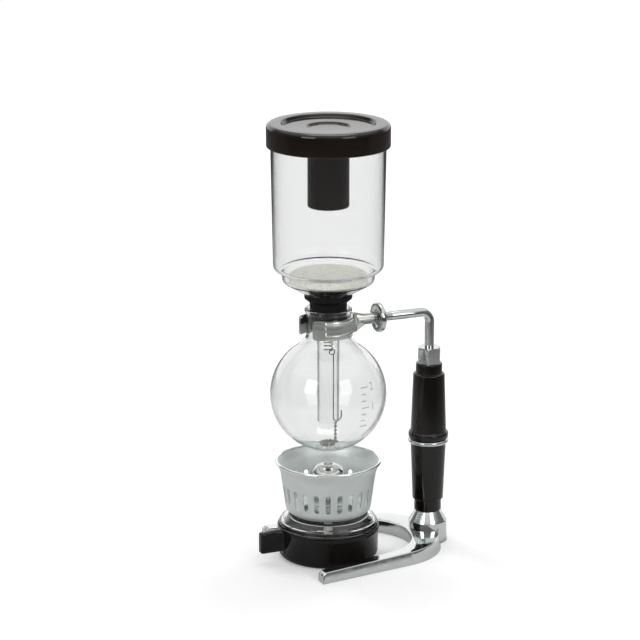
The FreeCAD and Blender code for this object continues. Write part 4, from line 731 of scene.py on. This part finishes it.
def flat_number(words, foot):
    """A number as flat faces in millimetres, beside its stroke, with its foot at a height."""
    letters = bpy.data.curves.new("number", "FONT")
    letters.body = words
    letters.size = NUMBER_SIZE
    writer = bpy.data.objects.new("number", letters)
    scene.collection.objects.link(writer)
    mesh = plain_mesh(writer)
    mesh.transform(Matrix.Translation((NUMBER_LEFT, foot, 0)))
    return mesh


def wrapped(point):
    """A flat point, across and up in millimetres with its film height, laid on the ball."""
    rise = (point.y - BULB_CENTRE_Z) / BULB_RADIUS
    angle = SCALE_BEARING + point.x / (BULB_RADIUS * math.cos(rise))
    return (direction(angle, rise) * (BULB_RADIUS + point.z) + Vector((0, 0, BULB_CENTRE_Z))) * MM


print_build = bmesh.new()
for stroke in range(STROKES):
    width = SHORT_STROKE if stroke % LONG_EVERY else LONG_STROKE
    foot = SCALE_LOW_Z + stroke * STROKE_GAP - STROKE_HEIGHT / 2
    edge = [print_build.verts.new((width * step / STROKE_CUTS, foot, 0)) for step in range(STROKE_CUTS + 1)]
    top = [print_build.verts.new((vert.co.x, foot + STROKE_HEIGHT, 0)) for vert in edge]
    for step in range(STROKE_CUTS):
        print_build.faces.new((edge[step], edge[step + 1], top[step + 1], top[step]))
    if stroke and width == LONG_STROKE:
        print_build.from_mesh(flat_number(str(stroke // LONG_EVERY), foot - NUMBER_DROP))
bmesh.ops.remove_doubles(print_build, verts=print_build.verts, dist=FLAT_MERGE_GAP)
raised = bmesh.ops.extrude_face_region(print_build, geom=print_build.faces[:])
for item in raised["geom"]:
    if isinstance(item, bmesh.types.BMVert):
        item.co.z = PAINT_FILM
for vert in print_build.verts:
    vert.co = wrapped(vert.co - Vector((0, 0, PAINT_FILM * SUNK_SHARE)))
goes_with(finish_mesh("printed_scale", print_build, scale_paint), "stand")

# %% [markdown]
# ## Stand and grip
#
# The horseshoe foot is cast and plated. It has no axis to turn it about, so it is a smoothed copy of the
# construction, and so is the hexagon nut. The grip is two moulded halves with a plated ring between them.

# %% Foot and nut
smooth_copy("base_frame", cast_chrome, "foot", 25.0)
smooth_copy("hex_nut", bright_chrome, "hexagon_nut", 20.0)

# %% Grip
GRIP_X = 82.8
ROD_HOLE = 3.6
GRIP_LOW_Z = 24.2
BAND_LOW_Z = 77.7
BAND_TOP_Z = 81.1
BAND_RADIUS = 15.2
BAND_ROUNDING = 1.53
GRIP_TOP_Z = 140.0

grip_lower_line = rounded_line([
    (ROD_HOLE, GRIP_LOW_Z, 0), (10.2, GRIP_LOW_Z, 0.9), (10.2, 32.8, 0.3), (11.6, 33.7, 0.9),
    (13.3, BAND_LOW_Z, 0.9), (ROD_HOLE, BAND_LOW_Z, 0),
])
stands_for(turned("grip_foot", grip_lower_line, grip_black, GRIP_X), "grip_lower")
band_line = rounded_line([
    (ROD_HOLE, BAND_LOW_Z, 0), (BAND_RADIUS, BAND_LOW_Z, BAND_ROUNDING),
    (BAND_RADIUS, BAND_TOP_Z, BAND_ROUNDING), (ROD_HOLE, BAND_TOP_Z, 0),
])
stands_for(turned("grip_band", band_line, bright_chrome, GRIP_X), "grip_ring")
grip_upper_line = rounded_line([
    (ROD_HOLE, BAND_TOP_Z, 0), (15.0, BAND_TOP_Z, 2.0), (15.0, 86.1, 2.0), (13.4, 87.0, 0.9),
    (11.8, 131.6, 0.9), (9.9, 132.5, 0.3), (9.9, GRIP_TOP_Z, 0.9), (ROD_HOLE, GRIP_TOP_Z, 0),
])
stands_for(turned("grip_top", grip_upper_line, grip_black, GRIP_X), "grip_upper")

# %% [markdown]
# The arm is one bent rod with a screw thread at its clamp end. A spiral curve with a profile would make the
# thread as a second piece lying on the rod. Here the rod's own rings carry it: the radius dips where the
# turn round the rod and the way along it meet on the helix, so thread and rod are one skin.

# %% Arm
ARM_Z = 179.8
ARM_START_X = 40.4
THREAD_END_X = 51.4
THREAD_PITCH = 1.25
THREAD_DEPTH = 0.45
THREAD_RINGS = 96
ROD_RADIUS = 3.5
ROD_BEND = 8.0
BEND_RINGS = 24
ROD_FOOT_Z = 10.2
ROD_STEPS = 48


def thread_cut(along_x, share):
    """How deep the thread lies at a place along the rod and a share of a turn round it."""
    turn = (along_x / THREAD_PITCH - share) % 1.0
    run_out = min(max((THREAD_END_X - along_x) / THREAD_PITCH, 0.0), 1.0)
    return THREAD_DEPTH * run_out * (1 - abs(2 * turn - 1))


def rod_ring(centre_x, centre_z, heading_down):
    """A ring square to the rod at one place; the heading goes from level to straight down."""
    ring = []
    for step in range(ROD_STEPS):
        share = step / ROD_STEPS
        radius = ROD_RADIUS - thread_cut(centre_x, share)
        out = radius * math.cos(math.tau * share)
        ring.append(Vector((
            centre_x + out * math.sin(heading_down),
            radius * math.sin(math.tau * share),
            centre_z + out * math.cos(heading_down),
        )) * MM)
    return ring


ring_gap = (THREAD_END_X - ARM_START_X) / THREAD_RINGS
rod_rings = [rod_ring(ARM_START_X + ring_gap * step, ARM_Z, 0.0) for step in range(THREAD_RINGS + 1)]
for step in range(BEND_RINGS + 1):
    bend = math.pi / 2 * step / BEND_RINGS
    rod_rings.append(rod_ring(
        GRIP_X - ROD_BEND * (1 - math.sin(bend)), ARM_Z - ROD_BEND * (1 - math.cos(bend)), bend))
rod_rings.append(rod_ring(GRIP_X, ROD_FOOT_Z, math.pi / 2))
stands_for(skinned("arm", rod_rings, bright_chrome, ROUND_ANGLE, closed=False), "arm_rod")

# %% [markdown]
# The clamp is pressed from sheet steel: two jaws round the bulb's neck, with tongues that a round nut holds
# together. Folded sheet is quickest to model as a construction, so these are smoothed copies.

# %% Clamp
smooth_copy("clamp_rear", clamp_satin, "jaw_rear")
smooth_copy("clamp_front", clamp_satin, "jaw_front")
smooth_copy("clamp_nut", bright_chrome, "round_nut")
smooth_copy("clamp_nut_hub", bright_chrome, "round_nut_core")

# %% [markdown]
# The lid is one moulding: a cover with a sunk top, a skirt over the funnel's edge, and a tube that hangs in
# the bowl. Its outline is turned in one go. Seen through glass, the tube would look too shiny, so its faces
# get painted shade: a darker, duller copy of the cover's plastic. The stopper is a smoothed copy.

# %% Lid and stopper
LID_TUBE_RADIUS = 15.4
LID_TUBE_TOP_Z = 323.8
LID_TOP_Z = 329.7
SKIRT_LOW_Z = 312.6

lid_line = rounded_line([
    (0, 326.0, 0), (14.9, 326.0, 0.5), (16.2, 327.3, 0.5), (33.6, 327.3, 0.8), (34.8, LID_TOP_Z, 1.2),
    (45.2, LID_TOP_Z, 3.2), (45.2, SKIRT_LOW_Z, 0.8), (43.0, SKIRT_LOW_Z, 0.8), (43.0, 327.5, 1.0),
    (35.8, 327.5, 0), (35.8, 325.1, 0), (LID_TUBE_RADIUS, 325.1, 1.5), (LID_TUBE_RADIUS, 267.4, 0.8),
    (13.2, 267.4, 0.8), (13.2, LID_TUBE_TOP_Z, 1.0), (0, LID_TUBE_TOP_Z, 0),
])
lid_cover = turned("lid_cover", lid_line, lid_brown)
# The tube's faces take the darker copy: painted shade.
painted_light_or_shade_on(lid_cover, tube_painted_shade, lambda face: (
    face.center.xy.length < LID_TUBE_RADIUS * MM and face.center.z < LID_TUBE_TOP_Z * MM))
stands_for(lid_cover, "lid")
smooth_copy("gasket", gasket_rubber, "stopper", SHARP_ANGLE)

# %% [markdown]
# ## Filter
#
# The filter is a disc in a flannel bag that is gathered underneath. A cloth simulation could gather it, but
# so small a bag only shows even pleats, so they are laid in by a rule: the underside of the turned bag
# rises in waves that grow towards the mouth. The weave is two crossed waves that bump the surface.

# %% Flannel
NAP_SCALE = 420.0
WEAVE_SCALE = 524.0
WEAVE_DEPTH = 0.00012

flannel, flannel_tree, flannel_shader, _ = start_finish("filter_flannel", Roughness=0.9, Sheen_Weight=0.25)
nap = object_noise(flannel_tree, NAP_SCALE, 5.0)
tinted(flannel_tree, nap, flannel_shader, (0.71, 0.70, 0.615), (0.96, 0.955, 0.87))
flannel_spot = add_node(flannel_tree, "ShaderNodeTexCoord").outputs["Object"]
warp, weft = (
    add_node(flannel_tree, "ShaderNodeTexWave", bands_direction=way, Scale=WEAVE_SCALE, Vector=flannel_spot)
    for way in ("X", "Y"))
weave = calculated(flannel_tree, "ADD", warp.outputs["Fac"], weft.outputs["Fac"])
relief = calculated(flannel_tree, "ADD", weave, nap)
bumped(flannel_tree, relief, flannel_shader, WEAVE_DEPTH, 0.6)
print("flannel with", WEAVE_SCALE, "weave")

# %% Cloth bag
CLOTH_THICKNESS = 0.8
CLOTH_RADIUS = 29.0
CLOTH_ROUNDING = 2.4
CLOTH_LOW_Z = 210.75
CLOTH_TOP_Z = 217.75
MOUTH_RADIUS = 6.5
UNDER_ROWS = 13
UNDER_GAP = 1.6
PLEATS = 36
PLEAT_STEPS = 8
PLEAT_HEIGHT = 2.2
PLEAT_FROM = 26.0
PLEAT_FULL = 17.0


def pleat(radius, angle):
    """How far the underside of the bag is lifted at a place."""
    share = min(max((PLEAT_FROM - radius) / (PLEAT_FROM - PLEAT_FULL), 0.0), 1.0)
    return PLEAT_HEIGHT * share * (0.5 - 0.5 * math.cos(PLEATS * angle))


underside = [(MOUTH_RADIUS + row * UNDER_GAP, CLOTH_LOW_Z, 0) for row in range(UNDER_ROWS)]
bag_corners = underside + [
    (CLOTH_RADIUS, CLOTH_LOW_Z, CLOTH_ROUNDING), (CLOTH_RADIUS, CLOTH_TOP_Z, CLOTH_ROUNDING),
    (0, CLOTH_TOP_Z, 0)]
bag_outer = rounded_line(bag_corners)
bag_inner = rounded_line(moved_inwards(bag_corners, CLOTH_THICKNESS))
bag_middle_z = (CLOTH_LOW_Z + CLOTH_TOP_Z) / 2
bag_steps = PLEATS * PLEAT_STEPS
bag_rings = []
for point in bag_outer + bag_inner[::-1]:
    place = upright(point)
    ring = []
    for step in range(bag_steps if point[0] > POLE_RADIUS else 1):
        angle = math.tau * step / bag_steps
        lifted = pleat(point[0], angle) if point[1] < bag_middle_z else 0.0
        ring.append(Vector(place(angle)) + Vector((0, 0, lifted * MM)))
    bag_rings.append(ring)
filter_bag = skinned("filter_bag", bag_rings, flannel, ROUND_ANGLE)
stands_for(filter_bag, "filter_cloth")

# %% Disc, post and hook
smooth_copy("filter_disc", wire_steel, "filter_plate")
smooth_copy("filter_stud", wire_steel, "filter_post")
smooth_copy("pull_hook", wire_steel, "hook_wire", 40.0)

# %% [markdown]
# ## What repeats
#
# The coil spring, the ball chain and the slots of the shield each follow a rule, so Geometry Nodes make
# them. A tree has named inputs for its sizes. It runs on a small start mesh, and what comes out is kept.

# %% Tree helpers
SEAM_GAP = 1e-6


def new_tree(name, *sizes):
    """A node tree with geometry in and out and a named number input for each size."""
    tree = bpy.data.node_groups.new(name, "GeometryNodeTree")
    tree.interface.new_socket("Geometry", in_out="INPUT", socket_type="NodeSocketGeometry")
    for size in sizes:
        kind = "NodeSocketInt" if size == "Count" else "NodeSocketFloat"
        tree.interface.new_socket(size, in_out="INPUT", socket_type=kind)
    tree.interface.new_socket("Geometry", in_out="OUTPUT", socket_type="NodeSocketGeometry")
    return tree, add_node(tree, "NodeGroupInput").outputs


def close_tree(tree, source, finish):
    """End a tree in real geometry with its finish."""
    real = add_node(tree, "GeometryNodeRealizeInstances", source).outputs[0]
    merged = add_node(tree, "GeometryNodeMergeByDistance", real, Distance=SEAM_GAP).outputs[0]
    coat = add_node(tree, "GeometryNodeSetMaterial", merged, Material=finish)
    add_node(tree, "NodeGroupOutput", coat.outputs[0])


def piped(tree, path, radius, sides):
    """A round wire along a path, closed at both ends."""
    ring = add_node(tree, "GeometryNodeCurvePrimitiveCircle", Resolution=sides, Radius=radius).outputs[0]
    wire = add_node(tree, "GeometryNodeCurveToMesh", Curve=path, Profile_Curve=ring, Fill_Caps=True)
    return wire.outputs[0]


def grown(tree, start_mesh, **sizes):
    """Run a tree on a start mesh and return the mesh that comes out."""
    maker = bpy.data.objects.new(tree.name, start_mesh)
    scene.collection.objects.link(maker)
    run = maker.modifiers.new("tree", "NODES")
    run.node_group = tree
    for socket in tree.interface.items_tree:
        size = socket.name.replace(" ", "_")
        if socket.in_out == "INPUT" and size in sizes:
            run[socket.identifier] = sizes[size]
    mesh = plain_mesh(maker)
    print(tree.name, len(mesh.polygons), "faces")
    return mesh


def stretches_for(piece, node):
    """Let a piece take its CAD node's place: its placement goes into its mesh and the node is hidden."""
    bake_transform(piece)
    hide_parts(node)


print("tree helpers ready")

# %% Coil spring
SPRING_RADIUS = 3.1
SPRING_WIRE = 0.4
SPRING_TURNS = 16.0
SPRING_LOW_Z = 158.65
SPRING_HEIGHT = 48.0
POINTS_PER_TURN = 32
WIRE_SIDES = 12

spring_tree, spring_sizes = new_tree(
    "spring_winder", "Coil Radius", "Wire Radius", "Turns", "Height", "Foot Height")
coil = add_node(
    spring_tree, "GeometryNodeCurveSpiral", Resolution=POINTS_PER_TURN, Reverse=True,
    Rotations=spring_sizes["Turns"], Start_Radius=spring_sizes["Coil Radius"],
    End_Radius=spring_sizes["Coil Radius"], Height=spring_sizes["Height"])
wound = piped(spring_tree, coil.outputs[0], spring_sizes["Wire Radius"], WIRE_SIDES)
foot_place = add_node(spring_tree, "ShaderNodeCombineXYZ", Z=spring_sizes["Foot Height"]).outputs[0]
placed = add_node(spring_tree, "GeometryNodeTransform", Geometry=wound, Translation=foot_place)
close_tree(spring_tree, placed.outputs[0], wire_steel)
spring_mesh = grown(
    spring_tree, bpy.data.meshes.new("spring_start"), Coil_Radius=SPRING_RADIUS * MM,
    Wire_Radius=SPRING_WIRE * MM, Turns=SPRING_TURNS, Height=SPRING_HEIGHT * MM,
    Foot_Height=SPRING_LOW_Z * MM)
coil_spring = finish_mesh("coil_spring", opened(spring_mesh), wire_steel, ROUND_ANGLE)
stretches_for(coil_spring, "filter_spring")

# %% [markdown]
# The ball chain hangs from the hook and lies in a small spiral heap on the bulb's floor. Its bead places
# come from the pitch alone; the tree puts a bead on each point and a thin link along each edge.

# %% Ball chain
BEAD_RADIUS = 1.2
BEAD_CUTS = 3
LINK_RADIUS = 0.4
LINK_SIDES = 8
BEAD_PITCH = 3.0
HANG_X = 5.85
HANG_TOP_Z = 102.49
HANGING_BEADS = 5
HEAP_BEADS = 17
HEAP_RADIUS = 6.9
HEAP_SHRINK = 0.2529
HEAP_FLOOR = 39.5

bead_places = [Vector((HANG_X, 0, HANG_TOP_Z - BEAD_PITCH * bead)) for bead in range(HANGING_BEADS)]
heap_angle = 0.0
for bead in range(HEAP_BEADS):
    radius = HEAP_RADIUS - HEAP_SHRINK * bead
    low_z = BULB_CENTRE_Z - math.sqrt(HEAP_FLOOR ** 2 - radius ** 2)
    bead_places.append(Vector((radius * math.cos(heap_angle), radius * math.sin(heap_angle), low_z)))
    heap_angle += BEAD_PITCH / radius
chain_start = bpy.data.meshes.new("chain_start")
chain_start.from_pydata(
    [place * MM for place in bead_places], [(bead, bead + 1) for bead in range(len(bead_places) - 1)], [])

chain_tree, chain_sizes = new_tree("chain_beader", "Bead Radius", "Link Radius")
ball = add_node(
    chain_tree, "GeometryNodeMeshIcoSphere", Subdivisions=BEAD_CUTS, Radius=chain_sizes["Bead Radius"])
beads = add_node(
    chain_tree, "GeometryNodeInstanceOnPoints", Points=chain_sizes["Geometry"], Instance=ball.outputs[0])
chain_path = add_node(chain_tree, "GeometryNodeMeshToCurve", chain_sizes["Geometry"]).outputs[0]
links = piped(chain_tree, chain_path, chain_sizes["Link Radius"], LINK_SIDES)
strung = add_node(chain_tree, "GeometryNodeJoinGeometry")
join(chain_tree, beads.outputs[0], strung.inputs[0])
join(chain_tree, links, strung.inputs[0])
close_tree(chain_tree, strung.outputs[0], bead_plating)
chain_mesh = grown(chain_tree, chain_start, Bead_Radius=BEAD_RADIUS * MM, Link_Radius=LINK_RADIUS * MM)
ball_chain = finish_mesh("ball_chain", opened(chain_mesh), bead_plating, ROUND_ANGLE)
stretches_for(ball_chain, "bead_chain")

# %% [markdown]
# ## Burner
#
# The cup is moulded with a flat handle, and the metal cap, the pipe and the wick sit on the jar. These keep
# the construction's form. The cap over the wick is spun, so it is turned.

# %% Cup, cap and wick
CAP_RADIUS = 13.9
CAP_TOP_Z = 71.1
CAP_WALL = 0.9
ALONG_STRANDS = (1, 1, 0.15)

smooth_copy("burner_holder", holder_black, "burner_cup")
smooth_copy("lamp_collar", lamp_plating, "jar_cap")
smooth_copy("wick_tube", lamp_plating, "wick_pipe")
wick_cotton, wick_tree, wick_shader, _ = start_finish("wick_cotton", Roughness=0.95)
strands = object_noise(wick_tree, 1400.0, 3.0, ALONG_STRANDS)
tinted(wick_tree, strands, wick_shader, (0.68, 0.66, 0.60), (0.86, 0.84, 0.78))
bumped(wick_tree, strands, wick_shader, 0.0003, 0.7)
smooth_copy("wick", wick_cotton, "cotton_wick", 40.0)
cap_corners = [
    (CAP_RADIUS, 41.5, 0), (CAP_RADIUS, CAP_TOP_Z, 10.2), (3.6, CAP_TOP_Z, 0.6), (2.4, 69.3, 1.2),
    (0, 69.3, 0)]
cap_line = rounded_line(cap_corners) + rounded_line(moved_inwards(cap_corners, CAP_WALL))[::-1]
stands_for(turned("snuffer", cap_line, lamp_plating), "snuffer_cap")

# %% [markdown]
# The shield is spun from sheet and then slotted all round. Cutting 24 slots with booleans leaves long thin
# faces that shade badly. Instead one sector of the skin is drawn with its slot as loops of even quads,
# Geometry Nodes set it round the axis and merge the seams, and Solidify and Bevel give the sheet its
# thickness and the slots their bright edges. The rolled rim is a bead on top.

# %% Shield outline
SLOT_COUNT = 24
SLOT_PHASE = math.radians(6)
SLOT_LOW_Z = 41.9
SLOT_TOP_Z = 56.8
SLOT_HALF_WIDTH = 1.9
FIELD_MARGIN = 1.5
HOLE_RADIUS = 20.0
WALL_FOOT = Vector((31.2, 34.1))
WALL_HEAD = Vector((35.8, 66.5))
FLARE_RADIUS = 39.1
RIM_Z = 73.9

shield_line = rounded_line([
    (HOLE_RADIUS, WALL_FOOT.y, 0), (*WALL_FOOT, 6.5), (*WALL_HEAD, 9.0), (FLARE_RADIUS, RIM_Z, 0)])
field_low = SLOT_LOW_Z - FIELD_MARGIN
field_top = SLOT_TOP_Z + FIELD_MARGIN
half_sector = math.pi / SLOT_COUNT


def wall_radius(z):
    """Radius of the shield's straight wall at a height."""
    return WALL_FOOT.x + (WALL_HEAD.x - WALL_FOOT.x) * (z - WALL_FOOT.y) / (WALL_HEAD.y - WALL_FOOT.y)


def slot_edge(angle, z):
    """The point on the slot's rounded edge that faces a point on the field's border."""
    core_z = min(max(z, SLOT_LOW_Z + SLOT_HALF_WIDTH), SLOT_TOP_Z - SLOT_HALF_WIDTH)
    out = Vector((angle * wall_radius(z), z - core_z)).normalized() * SLOT_HALF_WIDTH
    edge_z = core_z + out.y
    return out.x / wall_radius(edge_z), edge_z


print("shield outline", len(shield_line), "points")

# %% Shield sector
SECTOR_COLUMNS = 8
FIELD_ROWS = 12
ROW_GAP = 0.1
LOOP_SHARES = (0.0, 0.2, 0.6, 1.0)

sector = bmesh.new()
columns = [half_sector * (2 * step / SECTOR_COLUMNS - 1) for step in range(SECTOR_COLUMNS + 1)]


def sector_row(radius, z):
    """A row of points across the sector."""
    return [sector.verts.new(upright((radius, z))(angle)) for angle in columns]


low_rows = [sector_row(*point) for point in shield_line if point.y < field_low - ROW_GAP]
low_rows.append(sector_row(wall_radius(field_low), field_low))
top_rows = [sector_row(wall_radius(field_top), field_top)]
top_rows += [sector_row(*point) for point in shield_line if point.y > field_top + ROW_GAP]
for rows in (low_rows, top_rows):
    for lower, upper in zip(rows, rows[1:]):
        for step in range(SECTOR_COLUMNS):
            sector.faces.new((lower[step], lower[step + 1], upper[step + 1], upper[step]))

side_heights = [field_low + (field_top - field_low) * row / FIELD_ROWS for row in range(1, FIELD_ROWS)]
border = [(angle, field_low) for angle in columns]
border += [(half_sector, z) for z in side_heights]
border += [(angle, field_top) for angle in columns[::-1]]
border += [(-half_sector, z) for z in side_heights[::-1]]
loops = []
for share in LOOP_SHARES:
    loop = []
    for angle, z in border:
        edge_angle, edge_z = slot_edge(angle, z)
        loop_z = z + (edge_z - z) * share
        loop_angle = angle + (edge_angle - angle) * share
        loop.append(sector.verts.new(upright((wall_radius(loop_z), loop_z))(loop_angle)))
    loops.append(loop)
for outer, inner in zip(loops, loops[1:]):
    for step in range(len(border)):
        sector.faces.new((outer[step - 1], outer[step], inner[step], inner[step - 1]))
sector_mesh = bpy.data.meshes.new("shield_sector")
sector.to_mesh(sector_mesh)
sector.free()
print("sector", len(sector_mesh.polygons), "faces")

# %% Shield
SHEET_THICKNESS = 1.0
EDGE_BEVEL = 0.3
EDGE_ANGLE = math.radians(50)
INWARD = -0.5

shield_tree, shield_sizes = new_tree("slot_repeater", "Count", "Phase")
seats = add_node(shield_tree, "GeometryNodePoints", Count=shield_sizes["Count"])
seat_number = add_node(shield_tree, "GeometryNodeInputIndex")
seat_step = calculated(shield_tree, "DIVIDE", math.tau, shield_sizes["Count"])
seat_turn = calculated(shield_tree, "MULTIPLY", seat_number.outputs[0], seat_step)
seat_angle = calculated(shield_tree, "ADD", seat_turn, shield_sizes["Phase"])
about_axis = add_node(shield_tree, "ShaderNodeCombineXYZ", Z=seat_angle)
turned_seat = add_node(shield_tree, "FunctionNodeEulerToRotation", about_axis.outputs[0])
sectors = add_node(
    shield_tree, "GeometryNodeInstanceOnPoints", Points=seats.outputs[0],
    Instance=shield_sizes["Geometry"], Rotation=turned_seat.outputs[0])
close_tree(shield_tree, sectors.outputs[0], shield_satin)
skin = grown(shield_tree, sector_mesh, Count=SLOT_COUNT, Phase=SLOT_PHASE)
former = bpy.data.objects.new("shield_former", skin)
scene.collection.objects.link(former)
sheet = former.modifiers.new("sheet", "SOLIDIFY")
sheet.thickness = SHEET_THICKNESS * MM
sheet.offset = -1
edges = former.modifiers.new("edges", "BEVEL")
edges.width = EDGE_BEVEL * MM
edges.segments = 2
edges.limit_method = "ANGLE"
edges.angle_limit = EDGE_ANGLE
slotted_shield = finish_mesh("slotted_shield", opened(plain_mesh(former)), shield_satin, 40.0)
# The inner faces take the lighter copy: painted light inside the shield.
painted_light_or_shade_on(slotted_shield, shield_inside_painted_light, lambda face: (
    face.normal.xy.dot(face.center.xy.normalized()) < INWARD))
stands_for(slotted_shield, "windshield")

# %% Rolled rim
RIM_RADIUS = 38.6
RIM_BEAD = 1.1
RIM_STEPS = 20

rim_turns = [math.tau * step / RIM_STEPS for step in range(RIM_STEPS)]
rim_line = [(RIM_RADIUS + RIM_BEAD * math.cos(a), RIM_Z + RIM_BEAD * math.sin(a)) for a in rim_turns]
goes_with(turned("shield_rim", rim_line, rim_polish), "windshield")
